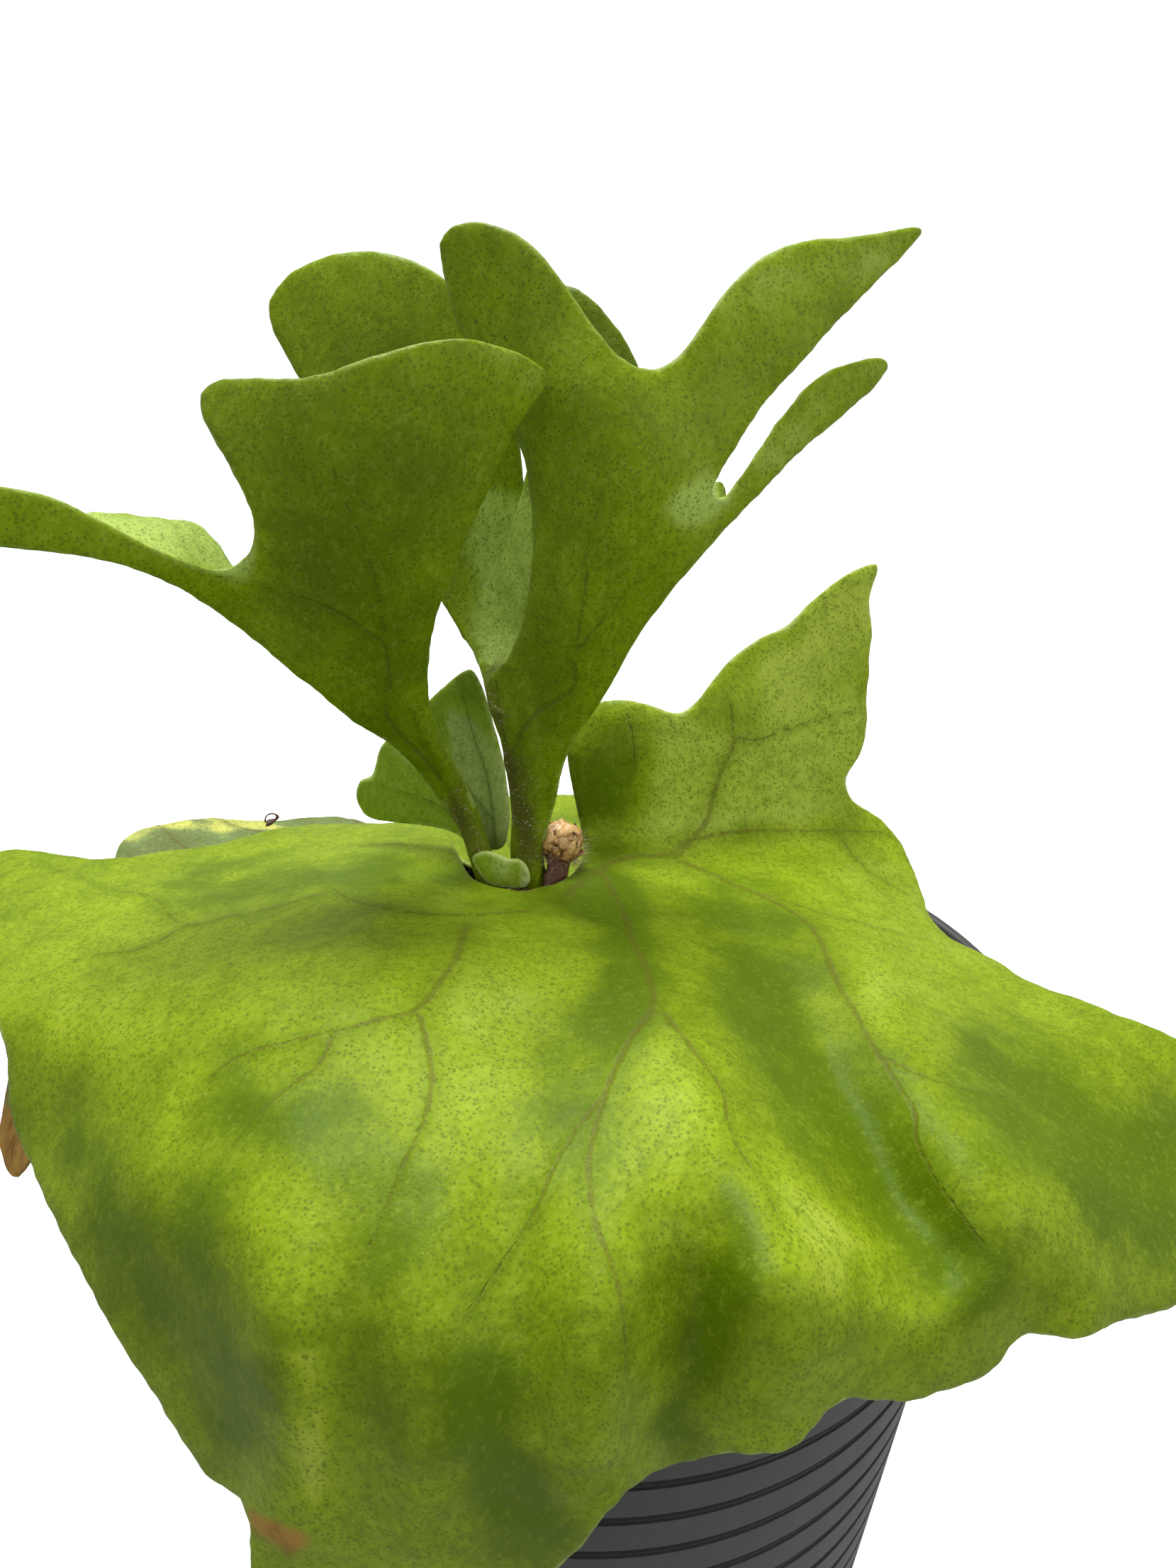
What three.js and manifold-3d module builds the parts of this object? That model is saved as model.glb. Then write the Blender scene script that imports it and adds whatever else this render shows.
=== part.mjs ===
// Potted staghorn fern: a ribbed nursery pot filled with growing medium, a creeping rhizome
// with its bud, five shield fronds that clasp and drape over the pot, and two antler fronds.
// Millimetres, +Z up, origin at the middle of the flat underside of the pot.
import * as THREE from 'three';
import { mergeVertices } from 'three/addons/utils/BufferGeometryUtils.js';
import Module from 'manifold-3d';

const wasm = await Module();
wasm.setup();

// Driving dimensions of the pot
const POT_HEIGHT = 90;
const POT_TOP_RADIUS = 48;
const POT_TAPER = 0.07;
const POT_WALL = 1.4;
const POT_FLOOR = 2;
const RIM_RADIUS = 52.5;
const RIM_HEIGHT = 8;
const RIM_WALL = 1.8;
const GROOVE_PITCH = 5;
const GROOVE_HALF_WIDTH = 0.6;
const GROOVE_DEPTH = 0.5;
const FIRST_GROOVE_DROP = 28;
const GROOVE_COUNT = 10;
const FOOT_BEVEL = 1.5;
const RIM_BEVEL = 0.8;
const POT_SIDES = 32;

// Driving dimensions of what grows in it
const CLEARANCE = 0.3;
const SHIELD_THICKNESS = 1;
const SMALL_SHIELD_THICKNESS = 0.8;
const ANTLER_THICKNESS = 1.1;
const MEDIUM_EDGE_HEIGHT = 83;
const MEDIUM_MOUND = 7;
const MEDIUM_GAP = CLEARANCE + 0.2;
const RHIZOME_CENTRE = new THREE.Vector3(-7, 7, 92);
const RHIZOME_RADII = new THREE.Vector3(9.5, 7, 5);
const BUD_RADIUS = 2.1;

// The fronds are drawn in one view of the plant, from in front and above. A place in the view
// is given across and down, in pixels of its 1659 by 2212 frame, and how far back it lies in mm.
const VIEW_WIDTH = 1659;
const VIEW_HEIGHT = 2212;
const VIEW_FOCAL = 1662;
const VIEW_DOWN = THREE.MathUtils.degToRad(21);
const VIEW_ROLL = THREE.MathUtils.degToRad(4);
const VIEW_EYE = new THREE.Vector3(-2.4, -125, 162.4);
const VIEW_LEVEL = new THREE.Vector3(1, 0, 0);
const VIEW_FORWARD = new THREE.Vector3(0, Math.cos(VIEW_DOWN), -Math.sin(VIEW_DOWN));
const VIEW_RIGHT = VIEW_LEVEL.clone().applyAxisAngle(VIEW_FORWARD, -VIEW_ROLL);
const VIEW_UP = VIEW_RIGHT.clone().cross(VIEW_FORWARD);

function sightLine([across, down]) {
  const line = VIEW_FORWARD.clone();
  line.addScaledVector(VIEW_RIGHT, (across - VIEW_WIDTH / 2) / VIEW_FOCAL);
  line.addScaledVector(VIEW_UP, (VIEW_HEIGHT / 2 - down) / VIEW_FOCAL);
  return line;
}

// The point of a sight line that lies at a given distance back
function seenAt(spot, back) {
  const line = sightLine(spot);
  return VIEW_EYE.clone().addScaledVector(line, (back - VIEW_EYE.y) / line.y);
}

// The distance back at which a sight line reaches a given height
function backAtHeight(spot, height) {
  const line = sightLine(spot);
  return VIEW_EYE.y + line.y * (height - VIEW_EYE.z) / line.z;
}

// Marks of a frond's lie: places in the view with the distance back, or with the height, there
const lying = (across, down, back) => [across, down, back];
const atHeight = (across, down, height) => [across, down, backAtHeight([across, down], height)];

// Solves a square set of linear equations by elimination
function solve(rows) {
  const size = rows.length;
  for (let column = 0; column < size; column++) {
    let best = column;
    for (let row = column; row < size; row++) {
      if (Math.abs(rows[row][column]) > Math.abs(rows[best][column])) best = row;
    }
    [rows[column], rows[best]] = [rows[best], rows[column]];
    for (let row = 0; row < size; row++) {
      if (row === column) continue;
      const share = rows[row][column] / rows[column][column];
      for (let k = column; k <= size; k++) rows[row][k] -= share * rows[column][k];
    }
  }
  return rows.map((row, k) => row[size] / row[k]);
}

// A smooth sheet through marks, as a thin springy plate lies over pegs
const PLATE_SCALE = 100;
const PLATE_GIVE = 0.02;

function plateBend(a, b) {
  const squared = ((a[0] - b[0]) ** 2 + (a[1] - b[1]) ** 2) / PLATE_SCALE ** 2;
  return squared > 0 ? squared * Math.log(squared) : 0;
}

function springyPlate(marks) {
  const slope = (mark) => [1, mark[0] / PLATE_SCALE, mark[1] / PLATE_SCALE];
  const rows = marks.map((mark, i) => [
    ...marks.map((other, j) => plateBend(mark, other) + (i === j ? PLATE_GIVE : 0)),
    ...slope(mark),
    mark[2],
  ]);
  for (let k = 0; k < 3; k++) rows.push([...marks.map((mark) => slope(mark)[k]), 0, 0, 0, 0]);
  const weights = solve(rows);
  const level = weights.slice(marks.length);
  return (spot) => {
    const flat = slope(spot).reduce((sum, value, k) => sum + value * level[k], 0);
    return marks.reduce((sum, mark, k) => sum + weights[k] * plateBend(mark, spot), flat);
  };
}

// The distance to a line, and how far along the line, from 0 to 1, its nearest place is
function nearestOnLine(spot, line, squeeze = 1) {
  let nearest = Infinity;
  let place = 0;
  for (let k = 0; k + 1 < line.length; k++) {
    const along = [line[k + 1][0] - line[k][0], (line[k + 1][1] - line[k][1]) * squeeze];
    const out = [spot[0] - line[k][0], (spot[1] - line[k][1]) * squeeze];
    const length = along[0] ** 2 + along[1] ** 2;
    const share = THREE.MathUtils.clamp((out[0] * along[0] + out[1] * along[1]) / length, 0, 1);
    const away = Math.hypot(out[0] - share * along[0], out[1] - share * along[1]);
    if (away > nearest) continue;
    nearest = away;
    place = (k + share) / (line.length - 1);
  }
  return [nearest, place];
}

const distanceToLine = (spot, line, squeeze) => nearestOnLine(spot, line, squeeze)[0];

// Folds push a blade back along their line, as a valley, or forward, as a ridge. They start
// shallow and reach their full depth a little over halfway.
const FOLD_START = -0.08;
const FOLD_FULL = 0.6;

function foldPush(spot, folds) {
  return folds.reduce((sum, { line, width, push }) => {
    const [distance, place] = nearestOnLine(spot, line);
    const away = distance / width;
    return sum + push * THREE.MathUtils.smoothstep(place, FOLD_START, FOLD_FULL) * Math.exp(-away * away);
  }, 0);
}

// A blade's outline as a smooth closed line through its points, with every point kept
function roundOutline(outline, step) {
  const points = outline.map(([across, down]) => new THREE.Vector3(across, down, 0));
  const curve = new THREE.CatmullRomCurve3(points, true, 'centripetal');
  const rim = [];
  outline.forEach((start, k) => {
    const end = outline[(k + 1) % outline.length];
    const parts = Math.max(1, Math.round(Math.hypot(end[0] - start[0], end[1] - start[1]) / step));
    for (let part = 0; part < parts; part++) {
      const point = curve.getPoint((k + part / parts) / outline.length);
      rim.push([point.x, point.y]);
    }
  });
  return rim;
}

function isInside([across, down], rim) {
  let inside = false;
  for (let k = 0, last = rim.length - 1; k < rim.length; last = k++) {
    const [ax, ay] = rim[k];
    const [bx, by] = rim[last];
    if (ay > down !== by > down && across < (bx - ax) * (down - ay) / (by - ay) + ax) inside = !inside;
  }
  return inside;
}

// Rows of points inside a rim, staggered, with the rows rowStep apart
const RIM_DISTANCE = 0.6;

function fillPoints(rim, step, rowStep) {
  const closed = [...rim, rim[0]];
  const downs = rim.map((point) => point[1]);
  const acrosses = rim.map((point) => point[0]);
  const left = Math.min(...acrosses);
  const right = Math.max(...acrosses);
  const inner = [];
  let row = 0;
  let down = Math.min(...downs) + rowStep(Math.min(...downs)) / 2;
  while (down < Math.max(...downs)) {
    const squeeze = step / rowStep(down);
    for (let across = left + (row % 2) * step / 2; across < right; across += step) {
      const spot = [across, down];
      const away = isInside(spot, rim) ? distanceToLine(spot, closed, squeeze) : 0;
      if (away > step * RIM_DISTANCE) inner.push(spot);
    }
    down += rowStep(down);
    row += 1;
  }
  return inner;
}

// Twice the area of a flat triangle, which is negative where it turns the other way
const turnOf = (a, b, c) => (b[0] - a[0]) * (c[1] - a[1]) - (b[1] - a[1]) * (c[0] - a[0]);
const LEAST_TURN = 0.01;

function cornerAngle(corner, a, b) {
  return a.clone().sub(corner).angleTo(b.clone().sub(corner));
}

// Turns the diagonal of two neighbouring triangles where that makes them less slender
const SAME_ANGLE = 1e-4;

function evenOut(flat, placed, faces, passes) {
  const base = flat.length;
  for (let pass = 0; pass < passes; pass++) {
    const owners = new Map();
    faces.forEach((face, f) => face.forEach((a, k) => owners.set(a * base + face[(k + 1) % 3], f)));
    const turned = new Set();
    for (const [edge, f] of owners) {
      const a = Math.floor(edge / base);
      const b = edge % base;
      const g = owners.get(b * base + a);
      if (g === undefined || a > b || turned.has(f) || turned.has(g)) continue;
      const c = faces[f].find((corner) => corner !== a && corner !== b);
      const d = faces[g].find((corner) => corner !== a && corner !== b);
      const turns = [turnOf(flat[a], flat[d], flat[c]), turnOf(flat[d], flat[b], flat[c])];
      if (Math.min(...turns) < LEAST_TURN) continue;
      const facing = [c, d].map((corner) => cornerAngle(placed[corner], placed[a], placed[b]));
      if (facing[0] + facing[1] < Math.PI + SAME_ANGLE) continue;
      faces[f] = [a, d, c];
      faces[g] = [d, b, c];
      turned.add(f);
      turned.add(g);
    }
    if (turned.size === 0) return;
  }
}

// Triangles through a rim and the points inside it: even ones first on the flat, then in place
const FLAT_PASSES = 400;
const PLACED_PASSES = 12;

function triangulate(rim, inner, place) {
  const flat = [...rim];
  const faces = THREE.ShapeUtils.triangulateShape(rim.map(([x, y]) => new THREE.Vector2(x, y)), [])
    .map(([a, b, c]) => (turnOf(flat[a], flat[b], flat[c]) > 0 ? [a, b, c] : [a, c, b]));
  for (const spot of inner) {
    const holds = (face) => face.every((a, k) => turnOf(flat[a], flat[face[(k + 1) % 3]], spot) > LEAST_TURN);
    const found = faces.findIndex(holds);
    if (found < 0) continue;
    const [a, b, c] = faces[found];
    const added = flat.push(spot) - 1;
    faces.splice(found, 1, [a, b, added], [b, c, added], [c, a, added]);
  }
  const placed = flat.map(place);
  evenOut(flat, flat.map(([x, y]) => new THREE.Vector3(x, y, 0)), faces, FLAT_PASSES);
  evenOut(flat, placed, faces, PLACED_PASSES);
  return { placed, faces };
}

function pointNormals(placed, faces) {
  const normals = placed.map(() => new THREE.Vector3());
  for (const [a, b, c] of faces) {
    const across = placed[b].clone().sub(placed[a]);
    const normal = across.cross(placed[c].clone().sub(placed[a]));
    for (const corner of [a, b, c]) normals[corner].add(normal);
  }
  return normals.map((normal) => normal.normalize());
}

function geometryOf(points, faces) {
  const geometry = new THREE.BufferGeometry();
  const corners = points.flatMap((point) => [point.x, point.y, point.z]);
  geometry.setAttribute('position', new THREE.Float32BufferAttribute(corners, 3));
  geometry.setIndex(faces.flat());
  return geometry;
}

// A solid of a closed geometry, with its faces turned to point outwards
const MERGE_DISTANCE = 1e-4;

function solidOf(geometry) {
  const bare = geometry.clone();
  bare.deleteAttribute('normal');
  bare.deleteAttribute('uv');
  const merged = mergeVertices(bare, MERGE_DISTANCE);
  const corners = merged.getAttribute('position');
  const at = (k) => new THREE.Vector3().fromBufferAttribute(corners, k);
  const index = Array.from(merged.getIndex().array);
  const kept = [];
  let volume = 0;
  for (let k = 0; k < index.length; k += 3) {
    const [a, b, c] = index.slice(k, k + 3);
    if (a === b || b === c || c === a) continue;
    kept.push([a, b, c]);
    volume += at(a).dot(at(b).cross(at(c)));
  }
  const outward = kept.flatMap(([a, b, c]) => (volume > 0 ? [a, b, c] : [a, c, b]));
  return new wasm.Manifold(new wasm.Mesh({
    numProp: 3,
    vertProperties: new Float32Array(corners.array),
    triVerts: new Uint32Array(outward),
  }));
}

// A thin blade: both faces carry the same triangles, joined by a wall along the outline
const EVEN_ROWS = Math.sqrt(3) / 2;

function bladeSolid({ outline, place, step, rowStep = () => step * EVEN_ROWS, thickness }) {
  const rim = roundOutline(outline, step);
  if (THREE.ShapeUtils.area(rim.map(([x, y]) => ({ x, y }))) < 0) rim.reverse();
  const { placed, faces } = triangulate(rim, fillPoints(rim, step, rowStep), place);
  const normals = pointNormals(placed, faces);
  const count = placed.length;
  const front = placed.map((point, k) => point.clone().addScaledVector(normals[k], thickness / 2));
  const rear = placed.map((point, k) => point.clone().addScaledVector(normals[k], -thickness / 2));
  const walls = rim.flatMap((_, k) => {
    const next = (k + 1) % rim.length;
    return [[k, k + count, next + count], [k, next + count, next]];
  });
  const rearFaces = faces.map(([a, b, c]) => [c + count, b + count, a + count]);
  return solidOf(geometryOf([...front, ...rear], [...faces, ...rearFaces, ...walls]));
}

// A stalk: round rings of given radii, strung along a line of points and closed at both ends
function stalkSolid(points, radii, sides = 10) {
  const curve = new THREE.CatmullRomCurve3(points);
  const rings = 3 * (points.length - 1);
  const frames = curve.computeFrenetFrames(rings);
  const corners = [];
  const faces = [];
  for (let ring = 0; ring <= rings; ring++) {
    const share = ring / rings * (radii.length - 1);
    const below = Math.min(Math.floor(share), radii.length - 2);
    const radius = THREE.MathUtils.lerp(radii[below], radii[below + 1], share - below);
    const centre = curve.getPoint(ring / rings);
    for (let side = 0; side < sides; side++) {
      const angle = 2 * Math.PI * side / sides;
      corners.push(centre.clone()
        .addScaledVector(frames.normals[ring], radius * Math.cos(angle))
        .addScaledVector(frames.binormals[ring], radius * Math.sin(angle)));
      if (ring === rings) continue;
      const here = ring * sides + side;
      const next = ring * sides + (side + 1) % sides;
      faces.push([here, next, next + sides], [here, next + sides, here + sides]);
    }
  }
  const foot = corners.push(curve.getPoint(0)) - 1;
  const head = corners.push(curve.getPoint(1)) - 1;
  for (let side = 0; side < sides; side++) {
    const next = (side + 1) % sides;
    faces.push([foot, next, side], [head, rings * sides + side, rings * sides + next]);
  }
  return solidOf(geometryOf(corners, faces));
}

const seenBlade = (marks, folds = []) => {
  const plate = springyPlate(marks);
  return (spot) => seenAt(spot, plate(spot) + foldPush(spot, folds));
};

// Slides a point up its sight line until it is clear of the pot's rim and wall
const SLIDE_STEP = 0.1;

function clearOfPot(point, clearance) {
  const towardsEye = VIEW_EYE.clone().sub(point).normalize();
  const clear = point.clone();
  const reach = RIM_RADIUS + clearance;
  while (Math.hypot(clear.x, clear.y) < reach && clear.z < POT_HEIGHT + clearance) {
    clear.addScaledVector(towardsEye, SLIDE_STEP);
  }
  return clear;
}

const joined = (solids) => solids.reduce((whole, solid) => whole.add(solid));

function ballSolid(centre, radii, across = 16, down = 10) {
  const ball = new THREE.SphereGeometry(1, across, down);
  ball.scale(radii.x, radii.y, radii.z);
  ball.translate(centre.x, centre.y, centre.z);
  return solidOf(ball);
}

// Turns a profile of [radius, height] points about the vertical axis
function turnedSolid(profile, sides) {
  const points = profile.map(([radius, height]) => new THREE.Vector2(radius, height));
  const lathe = new THREE.LatheGeometry(points, sides);
  lathe.rotateX(Math.PI / 2);
  return solidOf(lathe);
}

const wallRadius = (height) => POT_TOP_RADIUS - POT_TAPER * (POT_HEIGHT - height);
const RIM_FOOT = POT_HEIGHT - RIM_HEIGHT;

function grooveProfile(height) {
  const low = height - GROOVE_HALF_WIDTH;
  const high = height + GROOVE_HALF_WIDTH;
  return [[wallRadius(low), low], [wallRadius(height) - GROOVE_DEPTH, height], [wallRadius(high), high]];
}

// The pot: a tapering wall with fine grooves round it, a deeper rim band, and a plain flat floor
function potSolid() {
  const insideRim = RIM_RADIUS - RIM_WALL;
  const profile = [[0, 0], [wallRadius(0) - FOOT_BEVEL, 0], [wallRadius(FOOT_BEVEL), FOOT_BEVEL]];
  for (let k = GROOVE_COUNT - 1; k >= 0; k--) {
    profile.push(...grooveProfile(POT_HEIGHT - FIRST_GROOVE_DROP - k * GROOVE_PITCH));
  }
  profile.push([wallRadius(RIM_FOOT), RIM_FOOT]);
  profile.push([RIM_RADIUS - RIM_BEVEL, RIM_FOOT], [RIM_RADIUS, RIM_FOOT + RIM_BEVEL]);
  profile.push([RIM_RADIUS, POT_HEIGHT - RIM_BEVEL], [RIM_RADIUS - RIM_BEVEL, POT_HEIGHT]);
  profile.push([insideRim + RIM_BEVEL / 2, POT_HEIGHT], [insideRim, POT_HEIGHT - RIM_BEVEL]);
  profile.push([insideRim, RIM_FOOT + RIM_WALL], [wallRadius(RIM_FOOT) - POT_WALL, RIM_FOOT - POT_WALL]);
  profile.push([wallRadius(POT_FLOOR) - POT_WALL, POT_FLOOR], [0, POT_FLOOR]);
  return turnedSolid(profile, POT_SIDES);
}

// The growing medium fills the pot and is mounded up under the rhizome
const MEDIUM_RINGS = [43, 38, 32, 25, 17, 9, 0];
const MEDIUM_SIDES = 36;

function mediumTop(radius) {
  const share = radius / (POT_TOP_RADIUS - POT_WALL);
  return MEDIUM_EDGE_HEIGHT + MEDIUM_MOUND * (1 - share ** 4);
}

function mediumSolid() {
  const side = (height) => wallRadius(height) - POT_WALL - MEDIUM_GAP;
  const foot = POT_FLOOR + CLEARANCE;
  const shoulder = RIM_FOOT - 2;
  const profile = [[0, foot], [side(POT_FLOOR), foot], [side(shoulder), shoulder]];
  for (const radius of MEDIUM_RINGS) profile.push([radius, mediumTop(radius)]);
  return turnedSolid(profile, MEDIUM_SIDES);
}

// The rhizome is a short woody creeping stem
const rhizomeBody = (extra) => ballSolid(
  RHIZOME_CENTRE,
  RHIZOME_RADII.clone().addScalar(extra),
);

const BUD_CENTRE = seenAt([791, 1187], 10.3);
const BUD_RISE = 1.15;
const BUD_NECK_RADII = [2.4, 2, 1.7];
const BUD_SCALES = 9;
const BUD_SCALE_RADIUS = 1.15;
const BUD_SCALE_LENGTH = 2.8;
const BUD_SCALE_TURN = 2.4;
const BUD_SCALE_CLIMB = 0.32;
const BUD_LOWEST_SCALE = -1.2;
const BUD_SCALE_SINK = 0.92;

// Where the stalks stand in the rhizome
const LEFT_STALK_FOOT = RHIZOME_CENTRE.clone().add(new THREE.Vector3(-6.3, 2, 2));
const RIGHT_STALK_FOOT = RHIZOME_CENTRE.clone().add(new THREE.Vector3(-1, 2.5, 1.5));

// One pointed scale of the bud, standing outwards at its place in the spiral
function budScale(k) {
  const angle = BUD_SCALE_TURN * k;
  const height = BUD_LOWEST_SCALE + BUD_SCALE_CLIMB * k;
  const reach = BUD_SCALE_SINK * Math.sqrt(BUD_RADIUS ** 2 - (height / 2 / BUD_RISE) ** 2);
  const scale = new THREE.ConeGeometry(BUD_SCALE_RADIUS, BUD_SCALE_LENGTH, 5);
  scale.scale(1, 1, 0.4);
  scale.rotateX(Math.PI / 2);
  scale.rotateZ(angle + Math.PI / 2);
  scale.translate(reach * Math.cos(angle), reach * Math.sin(angle), height + 0.5);
  scale.translate(BUD_CENTRE.x, BUD_CENTRE.y, BUD_CENTRE.z);
  return solidOf(scale);
}

// The bud stands on the rhizome, wrapped in pointed papery scales
function budSolid() {
  const radii = new THREE.Vector3(BUD_RADIUS, BUD_RADIUS, BUD_RADIUS * BUD_RISE);
  const heart = ballSolid(BUD_CENTRE, radii, 12, 8);
  const foot = BUD_CENTRE.clone().lerp(RHIZOME_CENTRE, 0.75);
  const neck = stalkSolid([foot, BUD_CENTRE.clone().lerp(foot, 0.5), BUD_CENTRE], BUD_NECK_RADII, 8);
  const scales = Array.from({ length: BUD_SCALES }, (_, k) => budScale(k));
  return joined([heart, neck, ...scales]);
}

// The front shield frond: it rises from the hollow at the rhizome, spreads over the rim all
// round the front, and hangs down in folds. Its right lobe stands up behind the rhizome.
const FRONT_SHIELD_OUTLINE = [
  [668, 1243], [700, 1254], [745, 1257], [790, 1248], [818, 1224], [824, 1185], [812, 1130], [797, 1080],
  [800, 1030], [842, 987], [879, 982], [919, 993], [956, 1013], [978, 995], [1013, 943], [1073, 896],
  [1113, 883], [1147, 843], [1180, 816], [1247, 789], [1224, 846], [1234, 880], [1227, 933], [1224, 993],
  [1221, 1054], [1188, 1096], [1202, 1132], [1234, 1147], [1267, 1181], [1288, 1221], [1315, 1297],
  [1350, 1330], [1405, 1354], [1450, 1382], [1545, 1419], [1659, 1465], [1740, 1515], [1785, 1600],
  [1780, 1700], [1730, 1790], [1659, 1841], [1580, 1870], [1523, 1893], [1440, 1881], [1396, 1937],
  [1346, 1955], [1282, 1979], [1240, 1979], [1187, 1969], [1140, 2025], [1112, 2047], [1034, 2050],
  [991, 2061], [949, 2062], [906, 2089], [828, 2171], [780, 2222], [720, 2262], [650, 2268], [590, 2285],
  [520, 2330], [440, 2335], [375, 2285], [348, 2185], [343, 2115], [305, 2093], [266, 2043], [199, 1937],
  [149, 1852], [92, 1752], [43, 1639], [14, 1568], [0, 1440], [-45, 1385], [-105, 1330], [-140, 1270],
  [-110, 1225], [-55, 1205], [0, 1200], [90, 1203], [150, 1213], [235, 1200], [310, 1193], [390, 1167],
  [470, 1162], [590, 1160], [630, 1167], [646, 1205],
];

const FRONT_SHIELD_MARKS = [
  lying(640, 1168, 18), lying(590, 1160, 27), lying(470, 1162, 33), lying(390, 1167, 29),
  lying(310, 1193, 20), atHeight(450, 1215, 97.5), atHeight(560, 1205, 98.5), atHeight(640, 1240, 98),
  atHeight(500, 1290, 101), atHeight(650, 1300, 101.5), atHeight(745, 1300, 101),
  atHeight(700, 1254, 98.5), atHeight(790, 1250, 98.8), atHeight(830, 1200, 99.5),
  atHeight(942, 1203, 100.5), atHeight(1034, 1174, 101.5), lying(1197, 1174, 24), lying(805, 1090, 15),
  lying(842, 987, 19), lying(930, 1080, 17), lying(1050, 1060, 20), lying(1060, 920, 25),
  lying(1180, 900, 27), lying(1247, 789, 30), lying(1227, 1000, 28), lying(1288, 1221, 24),
  atHeight(1315, 1297, 94.5), atHeight(1405, 1354, 92.3), lying(1545, 1419, -6), lying(1659, 1465, -10),
  lying(1780, 1640, -20), lying(1659, 1841, -36), lying(1600, 1700, -33), atHeight(1500, 1590, 94.5),
  atHeight(1350, 1480, 98), atHeight(1250, 1330, 98), atHeight(1150, 1400, 100.5),
  atHeight(1050, 1300, 101), atHeight(900, 1350, 101.5), atHeight(1000, 1500, 100.5),
  atHeight(1200, 1600, 98.5), atHeight(1200, 1720, 95.5), atHeight(1310, 1730, 96), lying(1390, 1830, -49),
  lying(1450, 1780, -44), lying(1440, 1881, -45), lying(1523, 1893, -44), lying(1346, 1955, -49),
  lying(1240, 1979, -52), lying(1150, 1880, -55), lying(1130, 2030, -54), lying(991, 2061, -56),
  lying(950, 1970, -58), atHeight(950, 1850, 94), atHeight(900, 1690, 98), lying(828, 2171, -58),
  atHeight(745, 1700, 98), atHeight(745, 1850, 94), lying(745, 2000, -61), lying(720, 2240, -59),
  atHeight(745, 1420, 101), atHeight(600, 1450, 101), atHeight(550, 1620, 98.5), atHeight(550, 1800, 94.5),
  lying(550, 2000, -60), lying(520, 2300, -57), lying(348, 2185, -54), lying(400, 2040, -56),
  lying(350, 1900, -55), atHeight(350, 1720, 94.8), atHeight(300, 1500, 98), atHeight(200, 1600, 94.8),
  lying(291, 2086, -51), lying(199, 1937, -47), lying(92, 1752, -40), lying(30, 1610, -31),
  atHeight(0, 1440, 92.5), atHeight(150, 1450, 96), atHeight(100, 1300, 95), atHeight(300, 1330, 98.5),
  atHeight(230, 1230, 95.5), atHeight(0, 1210, 92.5), atHeight(-110, 1270, 89),
];

const FRONT_SHIELD_FOLDS = [
  { width: 76, push: 6, line: [[900, 1240], [1010, 1310], [1117, 1427], [1217, 1604], [1305, 1770]] },
  { width: 90, push: -3, line: [[850, 1290], [930, 1450], [1000, 1620], [1090, 1780]] },
  { width: 66, push: 4.2, line: [[1010, 1560], [995, 1700], [975, 1830], [955, 1960], [949, 2065]] },
  { width: 70, push: -1.6, line: [[1110, 1740], [1110, 1900], [1070, 2060]] },
  { width: 76, push: -1.6, line: [[840, 1600], [850, 1850], [840, 2120]] },
  { width: 80, push: 3, line: [[690, 1500], [730, 1700], [725, 1950], [700, 2250]] },
  { width: 70, push: 1.8, line: [[580, 1560], [510, 1800], [480, 2050], [500, 2250]] },
  { width: 62, push: -2, line: [[430, 1700], [405, 1900], [420, 2140]] },
  { width: 60, push: 1.8, line: [[190, 1640], [255, 1860], [330, 2080]] },
  { width: 84, push: 4, line: [[1290, 1420], [1400, 1490], [1520, 1560], [1640, 1620]] },
  { width: 76, push: -2.2, line: [[1330, 1560], [1450, 1690], [1560, 1850]] },
  { width: 90, push: -2, line: [[150, 1330], [330, 1400], [520, 1400]] },
  { width: 80, push: 2, line: [[420, 1600], [280, 1620], [120, 1560]] },
];

// The blade's rows of triangles stand closest where it is seen at a slant
const SHIELD_STEP = 43;
const FLATTEST_ROW = 1350;
const UPRIGHT_ROW = 1130;

function shieldRowStep(down) {
  const slant = THREE.MathUtils.clamp(24 + (down - FLATTEST_ROW) * 0.045, 25, 38);
  return down < UPRIGHT_ROW ? slant + 12 : slant;
}

const frontShieldLie = seenBlade(FRONT_SHIELD_MARKS, FRONT_SHIELD_FOLDS);
const RIM_CLEARANCE = SHIELD_THICKNESS / 2 + 0.9;

const frontShield = () => bladeSolid({
  outline: FRONT_SHIELD_OUTLINE,
  place: (spot) => clearOfPot(frontShieldLie(spot), RIM_CLEARANCE),
  step: SHIELD_STEP,
  rowStep: shieldRowStep,
  thickness: SHIELD_THICKNESS,
});

// Older shield fronds lie over the rim. They are laid out flat, with degrees round the pot
// across and millimetres out from the middle down, then bent over the rim by a droop.
const RIM_CREST = RIM_RADIUS + 4;
const RIM_REST = POT_HEIGHT + CLEARANCE + SHIELD_THICKNESS / 2;
const OLD_SHIELD_RISE = 0.65;
const BACK_SHIELD_RISE = 0.95;
const BEND_SOFTNESS = 2.6;

function overRim(rise, droopAt, rippleAt) {
  return ([degrees, out]) => {
    const angle = THREE.MathUtils.degToRad(degrees);
    const past = out - RIM_CREST;
    const bent = (past + Math.sqrt(past * past + BEND_SOFTNESS ** 2)) / 2;
    const droop = THREE.MathUtils.degToRad(droopAt(degrees));
    const radius = out - bent * (1 - Math.cos(droop));
    const height = RIM_REST + rise - bent * Math.sin(droop) + rippleAt(degrees, bent);
    return new THREE.Vector3(radius * Math.cos(angle), radius * Math.sin(angle), height);
  };
}

const bump = (value, middle, width) => Math.exp(-(((value - middle) / width) ** 2));

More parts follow.
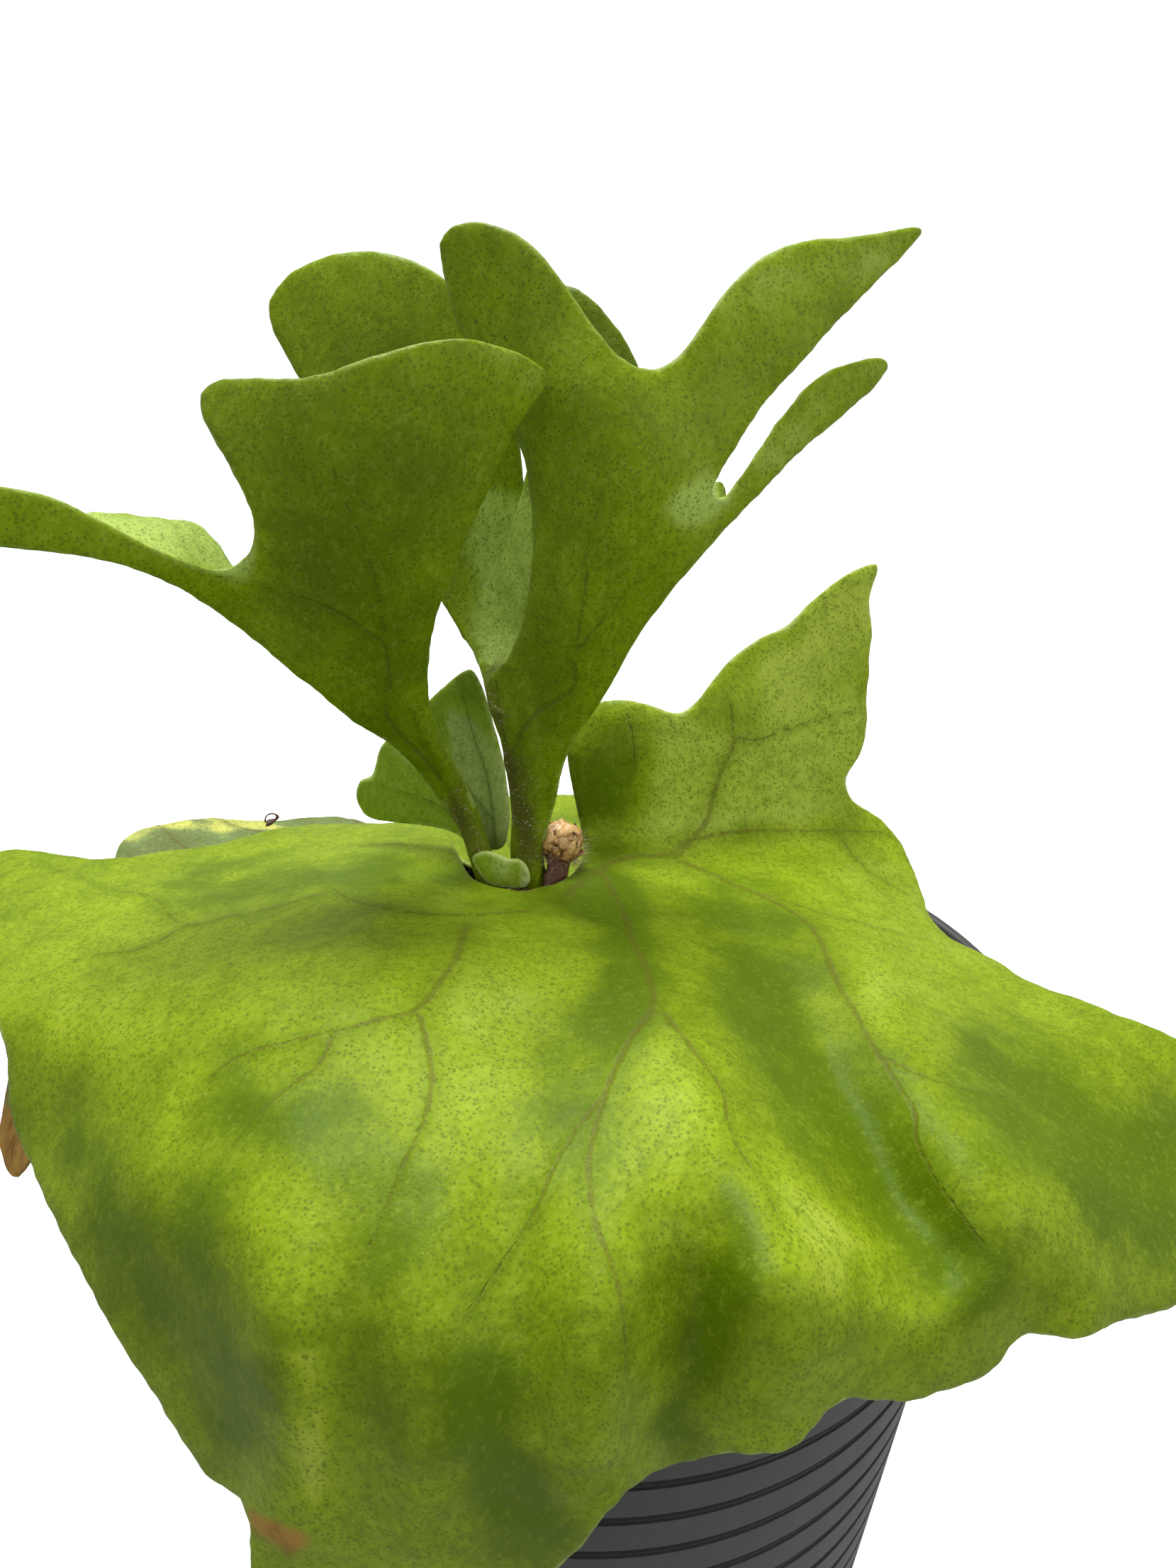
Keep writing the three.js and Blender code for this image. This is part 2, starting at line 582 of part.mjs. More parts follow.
const OLD_SHIELD_OUTLINE = [
  [132, 26], [160, 22], [196, 28], [206, 45], [208, 60], [206, 70], [201, 76], [195, 79], [188, 75],
  [180, 78], [172, 72], [166, 68], [159, 71], [152, 66], [147, 68], [142, 62], [136, 58], [131, 44],
];

const oldShield = () => bladeSolid({
  outline: OLD_SHIELD_OUTLINE,
  place: overRim(
    OLD_SHIELD_RISE,
    (degrees) => 62 * bump(degrees, 202, 30) + 45 * bump(degrees, 118, 22) - 16 * bump(degrees, 156, 10),
    (degrees, bent) => 0.05 * bent * Math.sin(degrees * 0.55),
  ),
  step: 5,
  thickness: SHIELD_THICKNESS,
});

const BACK_SHIELD_OUTLINE = [
  [41, 38], [47, 27], [57, 19], [70, 15], [95, 14], [116, 18], [128, 30], [127, 44], [120, 57], [110, 66],
  [99, 71], [88, 78], [76, 80], [67, 76], [60, 77], [54, 72], [48, 63], [42, 58], [39, 49],
];

const backShield = () => bladeSolid({
  outline: BACK_SHIELD_OUTLINE,
  place: overRim(
    BACK_SHIELD_RISE,
    (degrees) => 50 + 14 * Math.sin(degrees * 0.13),
    (degrees, bent) => 0.08 * bent * Math.sin(degrees * 0.3),
  ),
  step: 5.5,
  thickness: SHIELD_THICKNESS,
});

// The tall young shield stands up behind the left stalk
const TALL_SHIELD_OUTLINE = [
  [712, 1203], [720, 1160], [716, 1100], [705, 1048], [690, 990], [668, 938], [645, 950], [607, 985],
  [580, 1010], [548, 1035], [530, 1062], [527, 1095], [505, 1100], [500, 1130], [520, 1158], [575, 1163],
  [640, 1172], [665, 1195],
];

const tallShield = () => bladeSolid({
  outline: TALL_SHIELD_OUTLINE,
  place: seenBlade([
    lying(712, 1203, 12), lying(716, 1100, 13), lying(668, 938, 16), lying(607, 985, 17),
    lying(640, 1080, 15.5), lying(560, 1060, 17.5), lying(510, 1120, 18.5), lying(600, 1160, 15),
    lying(665, 1195, 13),
  ]),
  step: 38,
  thickness: SHIELD_THICKNESS,
});

// The smallest young shield is folded round the foot of the left stalk
const SMALL_SHIELD_OUTLINE = [
  [664, 1206], [684, 1198], [702, 1204], [718, 1212], [733, 1210], [745, 1222], [750, 1240], [744, 1252],
  [715, 1253], [690, 1247], [674, 1228],
];

const smallShield = () => bladeSolid({
  outline: SMALL_SHIELD_OUTLINE,
  place: seenBlade([
    lying(664, 1206, 7.4), lying(690, 1200, 6.8), lying(745, 1222, 5.9), lying(744, 1252, 5.9),
    lying(700, 1230, 6), lying(670, 1235, 7.2),
  ]),
  step: 16,
  thickness: SMALL_SHIELD_THICKNESS,
});

// The left antler frond: a stalk that widens into a cupped, forked blade
const LEFT_ANTLER_OUTLINE = [
  [655, 1178], [631, 1147], [604, 1114], [578, 1074], [544, 1043], [504, 1030], [473, 1000], [431, 965],
  [390, 930], [332, 886], [249, 832], [153, 797], [50, 780], [-40, 768], [-110, 748], [-140, 715],
  [-120, 690], [-60, 678], [0, 682], [83, 702], [166, 745], [249, 789], [323, 804], [352, 782], [358, 750],
  [336, 683], [290, 604], [276, 564], [293, 531], [360, 529], [431, 529], [510, 505], [586, 481],
  [664, 476], [720, 490], [763, 509], [778, 536], [752, 578], [718, 625], [705, 665], [678, 719],
  [638, 819], [608, 920], [608, 993], [638, 1080], [678, 1161],
];

const LEFT_ANTLER_LIE = springyPlate([
  lying(667, 1172, 9.4), lying(620, 1090, 6), lying(560, 990, 1), lying(480, 860, -5), lying(470, 700, -9),
  lying(450, 560, -10), lying(330, 560, -6), lying(286, 540, -3), lying(600, 490, -7), lying(700, 500, -3),
  lying(775, 530, 2), lying(700, 640, -1), lying(640, 800, -1), lying(608, 950, 2), lying(650, 1110, 7.6),
  lying(345, 800, -6), lying(340, 880, -3), lying(250, 815, -9), lying(150, 770, -12), lying(50, 735, -14),
  lying(0, 682, -15), lying(-120, 720, -17),
]);

// The far wall of its trough-shaped arm, whose pale inner face shows over the near margin
const LEFT_ANTLER_ARM_FOLD = [[-40, 766], [50, 778], [153, 795], [249, 830], [332, 884], [390, 928]];
const LEFT_ANTLER_FAR_OUTLINE = [
  [380, 915], [332, 878], [249, 824], [153, 789], [80, 776], [70, 745], [114, 718], [158, 722], [199, 727],
  [245, 733], [275, 737], [307, 760], [328, 791], [352, 830],
];

const LEFT_ARM_OPENING = 0.16;

const leftAntlerFar = (spot) => {
  const away = distanceToLine(spot, LEFT_ANTLER_ARM_FOLD);
  return seenAt(spot, LEFT_ANTLER_LIE(spot) + LEFT_ARM_OPENING * away);
};

const LEFT_STALK_RADII = [1.7, 1.6, 1.5, 1.2, 0.6];

const leftStalk = (extra) => stalkSolid([
  LEFT_STALK_FOOT.clone().add(new THREE.Vector3(0, 0, -extra)),
  seenAt([672, 1185], 9.6),
  seenAt([650, 1130], 8.4),
  seenAt([618, 1065], 5),
  seenAt([580, 990], 1.6),
], LEFT_STALK_RADII.map((radius) => radius + extra));

const antlerBlade = (outline, place, step) => bladeSolid({
  outline,
  place,
  step,
  thickness: ANTLER_THICKNESS,
});

function leftAntler() {
  const near = antlerBlade(LEFT_ANTLER_OUTLINE, (spot) => seenAt(spot, LEFT_ANTLER_LIE(spot)), 46);
  const far = antlerBlade(LEFT_ANTLER_FAR_OUTLINE, leftAntlerFar, 42);
  return joined([near, far, leftStalk(0)]);
}

// The right antler frond: the tallest, with a main blade forked twice, a far wall behind its
// slit, and a narrow left branch that widens into a round lobe at the back
const RIGHT_ANTLER_OUTLINE = [
  [722, 1200], [722, 1141], [715, 1087], [705, 1040], [692, 1000], [684, 965], [700, 938], [717, 925],
  [733, 885], [745, 819], [750, 759], [749, 705], [738, 645], [715, 580], [680, 520], [645, 470],
  [628, 397], [614, 350], [622, 322], [665, 304], [720, 322], [779, 377], [839, 464], [872, 501],
  [899, 517], [926, 518], [959, 498], [1020, 411], [1053, 374], [1087, 350], [1140, 334], [1187, 336],
  [1234, 330], [1308, 316], [1281, 357], [1234, 404], [1180, 458], [1127, 518], [1073, 578], [1020, 665],
  [1002, 700], [1024, 704], [1046, 668], [1073, 625], [1100, 585], [1140, 538], [1187, 511], [1234, 501],
  [1259, 510], [1241, 545], [1194, 585], [1140, 632], [1080, 692], [1020, 752], [979, 796], [939, 846],
  [906, 893], [879, 940], [859, 977], [819, 1033], [799, 1074], [789, 1114], [772, 1170], [765, 1200],
];

const RIGHT_ANTLER_LIE = springyPlate([
  lying(744, 1200, 9.2), lying(750, 1090, 7.4), lying(750, 1000, 6), lying(800, 870, 3),
  lying(850, 700, 1), lying(850, 560, 1), lying(770, 470, 5), lying(720, 400, 7), lying(660, 310, 9),
  lying(745, 700, 6), lying(728, 900, 6.5), lying(690, 960, 8), lying(910, 530, 4), lying(1000, 480, 8),
  lying(1130, 380, 14), lying(1305, 318, 25), lying(1150, 480, 12), lying(1000, 760, 5),
  lying(1100, 620, 10), lying(1256, 508, 20), lying(900, 880, 6), lying(820, 1030, 7), lying(650, 450, 10),
]);

const RIGHT_ANTLER_FOLD = [[760, 1010], [839, 998], [879, 936], [939, 843], [979, 793], [1030, 742]];
const RIGHT_ANTLER_FAR_OUTLINE = [
  [770, 1005], [735, 960], [705, 934], [688, 922], [684, 880], [690, 820], [715, 762], [738, 690], [745, 590],
  [760, 480], [782, 405], [805, 398], [839, 418], [872, 455], [895, 490], [915, 560], [940, 640], [972, 722],
  [998, 682], [1014, 676], [1028, 690], [1020, 745], [975, 790], [935, 838], [875, 930], [835, 990],
];

const RIGHT_SLIT_DEPTH = 14;
const RIGHT_SLIT_REACH = 130;

const rightAntlerFar = (spot) => {
  const away = distanceToLine(spot, RIGHT_ANTLER_FOLD) / RIGHT_SLIT_REACH;
  return seenAt(spot, RIGHT_ANTLER_LIE(spot) + RIGHT_SLIT_DEPTH * (1 - Math.exp(-away)));
};

const LEFT_BRANCH_OUTLINE = [
  [712, 1010], [735, 970], [738, 930], [742, 860], [744, 760], [738, 640], [715, 540], [680, 450],
  [621, 384], [564, 354], [511, 348], [450, 358], [390, 394], [371, 434], [390, 484], [425, 545],
  [500, 640], [560, 740], [610, 830], [645, 893], [665, 920], [680, 960], [694, 1005],
];

const leftBranchPlace = seenBlade([
  lying(708, 1006, 6.8), lying(705, 960, 9.5), lying(700, 900, 15.5), lying(720, 760, 20.5),
  lying(650, 760, 21), lying(600, 600, 22), lying(500, 420, 25), lying(380, 430, 28), lying(640, 420, 23),
  lying(640, 880, 15),
]);

const RIGHT_STALK_RADII = [2.3, 2.2, 2, 1.5, 0.7];

const rightStalk = (extra) => stalkSolid([
  RIGHT_STALK_FOOT.clone().add(new THREE.Vector3(0, 0, -extra)),
  seenAt([742, 1200], 9.2),
  seenAt([750, 1130], 8),
  seenAt([752, 1060], 6.8),
  seenAt([745, 990], 6),
], RIGHT_STALK_RADII.map((radius) => radius + extra));

function rightAntler() {
  const near = antlerBlade(RIGHT_ANTLER_OUTLINE, (spot) => seenAt(spot, RIGHT_ANTLER_LIE(spot)), 46);
  const far = antlerBlade(RIGHT_ANTLER_FAR_OUTLINE, rightAntlerFar, 52);
  const branch = antlerBlade(LEFT_BRANCH_OUTLINE, leftBranchPlace, 52);
  return joined([near, far, branch, rightStalk(0)]);
}

function finish(colour, roughness) {
  return new THREE.MeshStandardMaterial({ color: colour, roughness, metalness: 0, flatShading: true });
}

function meshOf(name, solid, material) {
  const { vertProperties, triVerts } = solid.getMesh();
  const geometry = new THREE.BufferGeometry();
  geometry.setAttribute('position', new THREE.BufferAttribute(new Float32Array(vertProperties), 3));
  geometry.setIndex(new THREE.BufferAttribute(new Uint32Array(triVerts), 1));
  geometry.computeVertexNormals();
  const mesh = new THREE.Mesh(geometry, material);
  mesh.name = name;
  return mesh;
}

const shieldGreen = finish(0x94b83c, 0.5);
const youngGreen = finish(0x6d9428, 0.45);
const antlerGreen = finish(0x557c0c, 0.45);

const SOCKET_CLEARANCE = CLEARANCE + 0.3;
const stalkSockets = leftStalk(SOCKET_CLEARANCE).add(rightStalk(SOCKET_CLEARANCE));
const rhizome = joined([rhizomeBody(0), budSolid()]).subtract(stalkSockets);
const medium = mediumSolid().subtract(rhizomeBody(SOCKET_CLEARANCE));

const group = new THREE.Group();
group.add(meshOf('pot', potSolid(), finish(0x3c3d3d, 0.45)));
group.add(meshOf('growing_medium', medium, finish(0x4a3626, 0.95)));
group.add(meshOf('rhizome_with_bud', rhizome, finish(0x8a5a26, 0.6)));
group.add(meshOf('shield_frond_front', frontShield(), shieldGreen));
group.add(meshOf('shield_frond_old', oldShield(), finish(0x8c9446, 0.7)));
group.add(meshOf('shield_frond_back', backShield(), shieldGreen));
group.add(meshOf('shield_frond_tall', tallShield(), youngGreen));
group.add(meshOf('shield_frond_small', smallShield(), youngGreen));
group.add(meshOf('antler_frond_left', leftAntler(), antlerGreen));
group.add(meshOf('antler_frond_right', rightAntler(), antlerGreen));

export default group;
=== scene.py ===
# Potted staghorn fern, dressed around its solids in the order in which it is put together: the
# pot, the growing medium, the rhizome with its bud, the shield fronds, the antler fronds, and
# last the studio that it is photographed in. Lengths are in metres.
import math
import random

import bmesh
import bpy
from mathutils import Matrix, Vector, noise
from mathutils.kdtree import KDTree
from mathutils.bvhtree import BVHTree


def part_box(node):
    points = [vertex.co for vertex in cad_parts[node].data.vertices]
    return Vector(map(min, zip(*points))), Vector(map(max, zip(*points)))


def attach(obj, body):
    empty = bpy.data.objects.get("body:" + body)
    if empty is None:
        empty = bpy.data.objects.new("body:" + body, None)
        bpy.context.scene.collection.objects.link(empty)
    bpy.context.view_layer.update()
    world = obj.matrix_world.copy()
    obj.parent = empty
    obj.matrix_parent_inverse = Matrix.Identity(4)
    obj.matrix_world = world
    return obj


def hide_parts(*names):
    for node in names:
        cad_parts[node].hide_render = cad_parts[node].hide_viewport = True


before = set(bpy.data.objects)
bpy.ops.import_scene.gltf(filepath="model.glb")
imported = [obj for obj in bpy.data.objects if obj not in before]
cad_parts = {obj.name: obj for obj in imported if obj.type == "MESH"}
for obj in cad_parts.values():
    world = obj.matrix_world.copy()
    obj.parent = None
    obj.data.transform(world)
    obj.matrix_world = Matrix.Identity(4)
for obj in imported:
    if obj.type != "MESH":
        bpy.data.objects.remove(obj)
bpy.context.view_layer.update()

# The noise that shapes the surfaces starts from a fixed seed, so that each run is the same
noise.seed_set(7)

# The pot is one moulded piece of dark grey plastic. Fine grooves run round its tapering wall
# under a plain band, its rim is a wider, deeper band, and its floor is plain.
MM = 0.001
pot_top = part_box("pot")[1]
POT_HEIGHT = pot_top.z
RIM_RADIUS = pot_top.x
RIM_HEIGHT = 8 * MM
RIM_WALL = 1.8 * MM
RIM_ROUND = 0.8 * MM
WALL_TOP_RADIUS = 48 * MM
POT_TAPER = 0.07
POT_WALL = 1.4 * MM
POT_FLOOR = 2 * MM
FOOT_ROUND = 1.5 * MM
GROOVE_PITCH = 5 * MM
GROOVE_HALF_WIDTH = 0.6 * MM
GROOVE_DEPTH = 0.5 * MM
FIRST_GROOVE = POT_HEIGHT - 28 * MM
GROOVE_COUNT = 10
GROOVE_STEPS = 6
POT_STEPS = 144
MERGE = 1e-6

POT_GREY = (0.052, 0.052, 0.05, 1)
POT_GROOVE_SHADE = (0.006, 0.006, 0.006, 1)
POT_DUST = (0.16, 0.155, 0.14, 1)


class Wire:
    """One value in a material's nodes. Sums and products of wires and numbers add Math nodes."""

    def __init__(self, tree, socket=None):
        self.tree = tree
        self.socket = socket

    def node(self, kind, sockets, out=0, **settings):
        """Adds a node, its settings first, then its sockets' values and links: gives an output."""
        made = self.tree.nodes.new(kind)
        for name, value in settings.items():
            setattr(made, name, value)
        for name, value in sockets.items():
            if isinstance(value, Wire):
                self.tree.links.new(value.socket, made.inputs[name])
            else:
                made.inputs[name].default_value = value
        return Wire(self.tree, made.outputs[out])

    def math(self, operation, first, second=0.0):
        return self.node("ShaderNodeMath", {0: first, 1: second}, operation=operation)

    def __add__(self, other):
        return self.math("ADD", self, other)

    def __sub__(self, other):
        return self.math("SUBTRACT", self, other)

    def __rsub__(self, other):
        return self.math("SUBTRACT", other, self)

    def __mul__(self, other):
        return self.math("MULTIPLY", self, other)

    __radd__ = __add__
    __rmul__ = __mul__

    def step(self, low, high):
        """Rises smoothly from 0 to 1 between two values, or falls if they stand the other way."""
        sockets = {"Value": self, "From Min": low, "From Max": high}
        return self.node("ShaderNodeMapRange", sockets, interpolation_type="SMOOTHSTEP")

    def tint(self, under, over):
        """The colour under this mask where it is 0, and the colour over it where it is 1."""
        return self.node("ShaderNodeMix", {0: self, 6: under, 7: over}, out=2, data_type="RGBA")

    def noise(self, size, detail=2.0, roughness=0.5):
        """Noise over these coordinates, with lumps of about a given size."""
        sockets = {"Vector": self, "Scale": 1 / size, "Detail": detail, "Roughness": roughness}
        return self.node("ShaderNodeTexNoise", sockets, out="Fac")

    def cells(self, size, feature="F1", out="Distance"):
        """Distance to the nearest of scattered spots of about a given spacing, or to a cell's edge."""
        sockets = {"Vector": self, "Scale": 1 / size}
        return self.node("ShaderNodeTexVoronoi", sockets, out=out, feature=feature)

    def stretched(self, across, along, upright):
        """These coordinates made finer or coarser along each axis."""
        sockets = {"Vector": self, "Scale": (across, along, upright)}
        return self.node("ShaderNodeMapping", sockets)

    def bump(self, distance, strength=1.0):
        """The surface raised by this value times a distance."""
        sockets = {"Height": self, "Distance": distance, "Strength": strength}
        return self.node("ShaderNodeBump", sockets)


def new_finish(name, **constants):
    """A material with one Principled shader. Gives it, its coordinates and what connects to it."""
    finish = bpy.data.materials.new(name)
    finish.use_nodes = True
    shader = finish.node_tree.nodes["Principled BSDF"]
    for socket, value in constants.items():
        shader.inputs[socket.replace("_", " ")].default_value = value
    start = Wire(finish.node_tree)
    coords = start.node("ShaderNodeTexCoord", {}, out="Object")

    def connect(socket, wire):
        finish.node_tree.links.new(wire.socket, shader.inputs[socket])

    return finish, coords, connect


def pot_finish():
    finish, coords, connect = new_finish("pot_plastic", Roughness=0.4, Specular_IOR_Level=0.45)
    height = coords.node("ShaderNodeSeparateXYZ", {"Vector": coords}, out="Z")
    first = FIRST_GROOVE - (GROOVE_COUNT - 0.5) * GROOVE_PITCH
    last = FIRST_GROOVE + 0.5 * GROOVE_PITCH
    along = (height - first) * (1 / GROOVE_PITCH)
    away = coords.math("ABSOLUTE", coords.math("FRACT", along) - 0.5)
    in_band = height.step(first, first + MM) * height.step(last, last - MM)
    # Painted shade: the grooves' channels are painted near black, for the shade that lies in them.
    groove = away.step(0.14, 0.07) * in_band
    dust = coords.noise(30 * MM, 4) * coords.noise(1.2 * MM, 3)
    dusted = dust.step(0.3, 0.52) * 0.28
    connect("Base Color", groove.tint(dusted.tint(POT_GREY, POT_DUST), POT_GROOVE_SHADE))
    flow = coords.stretched(1, 1, 0.12).noise(3 * MM, 3)
    connect("Roughness", flow * 0.14 + dusted * 0.5 + 0.33)
    grain = coords.noise(0.35 * MM, 2) * 0.6 + flow
    connect("Normal", grain.bump(0.05 * MM, 0.5))
    return finish


def turned(profile, steps):
    """A closed shape turned from a profile that starts and ends on the upright axis."""
    shape = bmesh.new()
    verts = [shape.verts.new((radius, 0, height)) for radius, height in profile]
    edges = [shape.edges.new(pair) for pair in zip(verts, verts[1:])]
    bmesh.ops.spin(shape, geom=verts + edges, cent=(0, 0, 0), axis=(0, 0, 1), angle=2 * math.pi,
                   steps=steps, use_merge=True)
    bmesh.ops.remove_doubles(shape, verts=shape.verts, dist=MERGE)
    bmesh.ops.recalc_face_normals(shape, faces=shape.faces)
    return shape


def wall_radius(height):
    return WALL_TOP_RADIUS - POT_TAPER * (POT_HEIGHT - height)


def groove(middle):
    """A round channel in the wall, from below it to above it."""
    points = []
    for k in range(GROOVE_STEPS + 1):
        turn = math.pi * k / GROOVE_STEPS
        height = middle - GROOVE_HALF_WIDTH * math.cos(turn)
        points.append((wall_radius(height) - GROOVE_DEPTH * math.sin(turn), height))
    return points


def rounded(radius, height, size, start):
    """A quarter turn about a point, from a start angle anticlockwise."""
    turns = [math.radians(start + 15 * k) for k in range(7)]
    return [(radius + size * math.cos(turn), height + size * math.sin(turn)) for turn in turns]


def new_piece(name, shape, finish, sharp=30):
    """Makes a finished piece of a shape. It rides with the pot, which is the only body."""
    mesh = bpy.data.meshes.new(name)
    shape.to_mesh(mesh)
    shape.free()
    mesh.shade_smooth()
    mesh.set_sharp_from_angle(angle=math.radians(sharp))
    mesh.materials.append(finish)
    piece = bpy.data.objects.new(name, mesh)
    bpy.context.scene.collection.objects.link(piece)
    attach(piece, "root")
    return piece


def apply_modifiers(piece):
    """Makes a piece's modifiers part of its mesh."""
    evaluated = piece.evaluated_get(bpy.context.evaluated_depsgraph_get())
    mesh = bpy.data.meshes.new_from_object(evaluated)
    piece.modifiers.clear()
    piece.data = mesh


rim_foot = POT_HEIGHT - RIM_HEIGHT
inner_foot = wall_radius(POT_FLOOR) - POT_WALL
pot_profile = [(0, 0)]
pot_profile += rounded(wall_radius(0) - FOOT_ROUND, FOOT_ROUND, FOOT_ROUND, -90)
for k in reversed(range(GROOVE_COUNT)):
    pot_profile += groove(FIRST_GROOVE - k * GROOVE_PITCH)
pot_profile.append((wall_radius(rim_foot), rim_foot))
pot_profile += rounded(RIM_RADIUS - RIM_ROUND, rim_foot + RIM_ROUND, RIM_ROUND, -90)
pot_profile += rounded(RIM_RADIUS - RIM_ROUND, POT_HEIGHT - RIM_ROUND, RIM_ROUND, 0)
pot_profile += rounded(RIM_RADIUS - RIM_WALL + RIM_ROUND, POT_HEIGHT - RIM_ROUND, RIM_ROUND, 90)
pot_profile.append((RIM_RADIUS - RIM_WALL, rim_foot + RIM_WALL))
pot_profile.append((wall_radius(rim_foot) - POT_WALL, rim_foot - POT_WALL))
pot_profile += [(inner_foot, POT_FLOOR), (0, POT_FLOOR)]

pot = new_piece("pot_body", turned(pot_profile, POT_STEPS), pot_finish())
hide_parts("pot")

# The growing medium is coarse bark and dead sphagnum, packed into the pot and mounded a little
# under the rhizome. Its top is rough, with loose chips pressed in and dry strands over them.
MEDIUM_ROUGH = 1.3 * MM
MEDIUM_LUMP = 5 * MM
UPWARD = 0.3
CHIP_REACH = 43 * MM
STRAND_REACH = 42 * MM
CHIP_COUNT = 190
STRAND_COUNT = 260
MEDIUM_BROWN = (0.035, 0.02, 0.011, 1)
MEDIUM_TAN = (0.16, 0.09, 0.045, 1)
CHIP_DARK = (0.05, 0.024, 0.012, 1)
CHIP_RED = (0.19, 0.085, 0.04, 1)
STRAND_DRY = (0.42, 0.33, 0.18, 1)
STRAND_GREEN = (0.16, 0.17, 0.05, 1)


def merged_copy(node):
    """A node's mesh with its loose triangles joined, ready to be shaped."""
    shape = bmesh.new()
    shape.from_mesh(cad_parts[node].data)
    bmesh.ops.remove_doubles(shape, verts=shape.verts, dist=MERGE)
    return shape


def bark_finish(name, dark, light, size):
    finish, coords, connect = new_finish(name, Roughness=0.85)
    shade = coords.node("ShaderNodeAttribute", {}, out="Fac", attribute_name="shade")
    grain = coords.noise(size, 5, 0.65)
    connect("Base Color", (grain.step(0.3, 0.75) * 0.6 + shade * 0.5).tint(dark, light))
    connect("Roughness", grain * 0.3 + 0.6)
    connect("Normal", grain.bump(0.5 * MM, 0.8))
    return finish


medium_shape = merged_copy("growing_medium")
top_faces = [face for face in medium_shape.faces if face.normal.z > 0.5]
top_edges = list({edge for face in top_faces for edge in face.edges})
bmesh.ops.subdivide_edges(medium_shape, edges=top_edges, cuts=6, use_grid_fill=True)
bmesh.ops.triangulate(medium_shape, faces=medium_shape.faces)
for vert in medium_shape.verts:
    if vert.co.z > rim_foot and vert.normal.z > UPWARD:
        lump = noise.fractal(vert.co / MEDIUM_LUMP, 0.7, 2.2, 4)
        vert.co.z -= MEDIUM_ROUGH * min(1.0, max(0.0, 0.5 - lump))
packed_finish = bark_finish("packed_medium", MEDIUM_BROWN, MEDIUM_TAN, 1.5 * MM)
medium = new_piece("medium_packed", medium_shape, packed_finish, 60)
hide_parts("growing_medium")

# Whatever lies on the medium keeps clear of the fronds, the pot and the rhizome
GROWN = [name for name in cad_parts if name.startswith(("shield", "antler", "rhizome"))]
grown_shapes = [merged_copy(name) for name in GROWN]
grown_trees = [BVHTree.FromBMesh(shape) for shape in grown_shapes]
medium_tree = BVHTree.FromObject(medium, bpy.context.evaluated_depsgraph_get())


def room_round(point):
    """How far a point is from the nearest frond or the rhizome."""
    return min(tree.find_nearest(point)[3] for tree in grown_trees)


def on_medium(draw, reach):
    """A random place on the medium's top, within a reach of its middle."""
    radius = reach * math.sqrt(draw.random())
    angle = draw.uniform(0, 2 * math.pi)
    above = Vector((radius * math.cos(angle), radius * math.sin(angle), POT_HEIGHT + 5 * MM))
    return medium_tree.ray_cast(above, Vector((0, 0, -1)))[0]


def shade_verts(shape, verts, value):
    """Gives some verts of a shape a shade from 0 to 1, which their material reads."""
    layer = shape.verts.layers.float.get("shade") or shape.verts.layers.float.new("shade")
    for vert in verts:
        vert[layer] = value


draw = random.Random(11)
chips = bmesh.new()
chips.verts.layers.float.new("shade")
for _ in range(CHIP_COUNT):
    place = on_medium(draw, CHIP_REACH)
    length = draw.uniform(2.5, 6.5) * MM
    size = Vector((length, length * draw.uniform(0.4, 0.8), length * draw.uniform(0.18, 0.32)))
    if room_round(place) < 0.62 * length + 1.5 * MM:
        continue
    turn = Matrix.Rotation(draw.uniform(0, math.pi), 4, "Z") @ Matrix.Rotation(draw.gauss(0, 0.16), 4, "X")
    lie = Matrix.Translation(place) @ turn @ Matrix.Diagonal((*size, 1))
    made = bmesh.ops.create_cube(chips, size=1, matrix=lie)
    for vert in made["verts"]:
        vert.co += noise.noise_vector(vert.co / (3 * MM)) * 0.16 * length
    edges = list({edge for vert in made["verts"] for edge in vert.link_edges})
    rounded_off = bmesh.ops.bevel(chips, geom=edges, offset=0.12 * length, affect="EDGES", segments=2,
                                  profile=0.5, material=-1, clamp_overlap=True)
    shade_verts(chips, rounded_off["verts"], draw.random())
chip_finish = bark_finish("bark_chip", CHIP_DARK, CHIP_RED, 0.9 * MM)
new_piece("bark_chips", chips, chip_finish, 40)


def smooth_line(points, steps):
    """A smooth line through points, with a number of steps from each to the next."""
    ends = [2 * points[0] - points[1], *points, 2 * points[-1] - points[-2]]
    line = []
    for a, b, c, d in zip(ends, ends[1:], ends[2:], ends[3:]):
        for k in range(steps):
            t = k / steps
            line.append(0.5 * (2 * b + (c - a) * t + (2 * a - 5 * b + 4 * c - d) * t ** 2
                               + (3 * b - a - 3 * c + d) * t ** 3))
    return [*line, points[-1]]


def add_thread(shape, line, radii, sides=4):
    """Adds a closed thread along a line, thick as the radii say, to a shape. Gives its verts."""
    whole = []
    last = None
    for k, point in enumerate(line):
        along = line[min(k + 1, len(line) - 1)] - line[max(k - 1, 0)]
        turn = along.to_track_quat("Z", "Y").to_matrix().to_4x4()
        ring = bmesh.ops.create_circle(shape, segments=sides, radius=radii[k],
                                       matrix=Matrix.Translation(point) @ turn)["verts"]
        if last is None:
            bmesh.ops.contextual_create(shape, geom=ring[::-1])
        else:
            for side in range(sides):
                after = (side + 1) % sides
                shape.faces.new((last[side], last[after], ring[after], ring[side]))
        last = ring
        whole += ring
    bmesh.ops.contextual_create(shape, geom=last)
    return whole


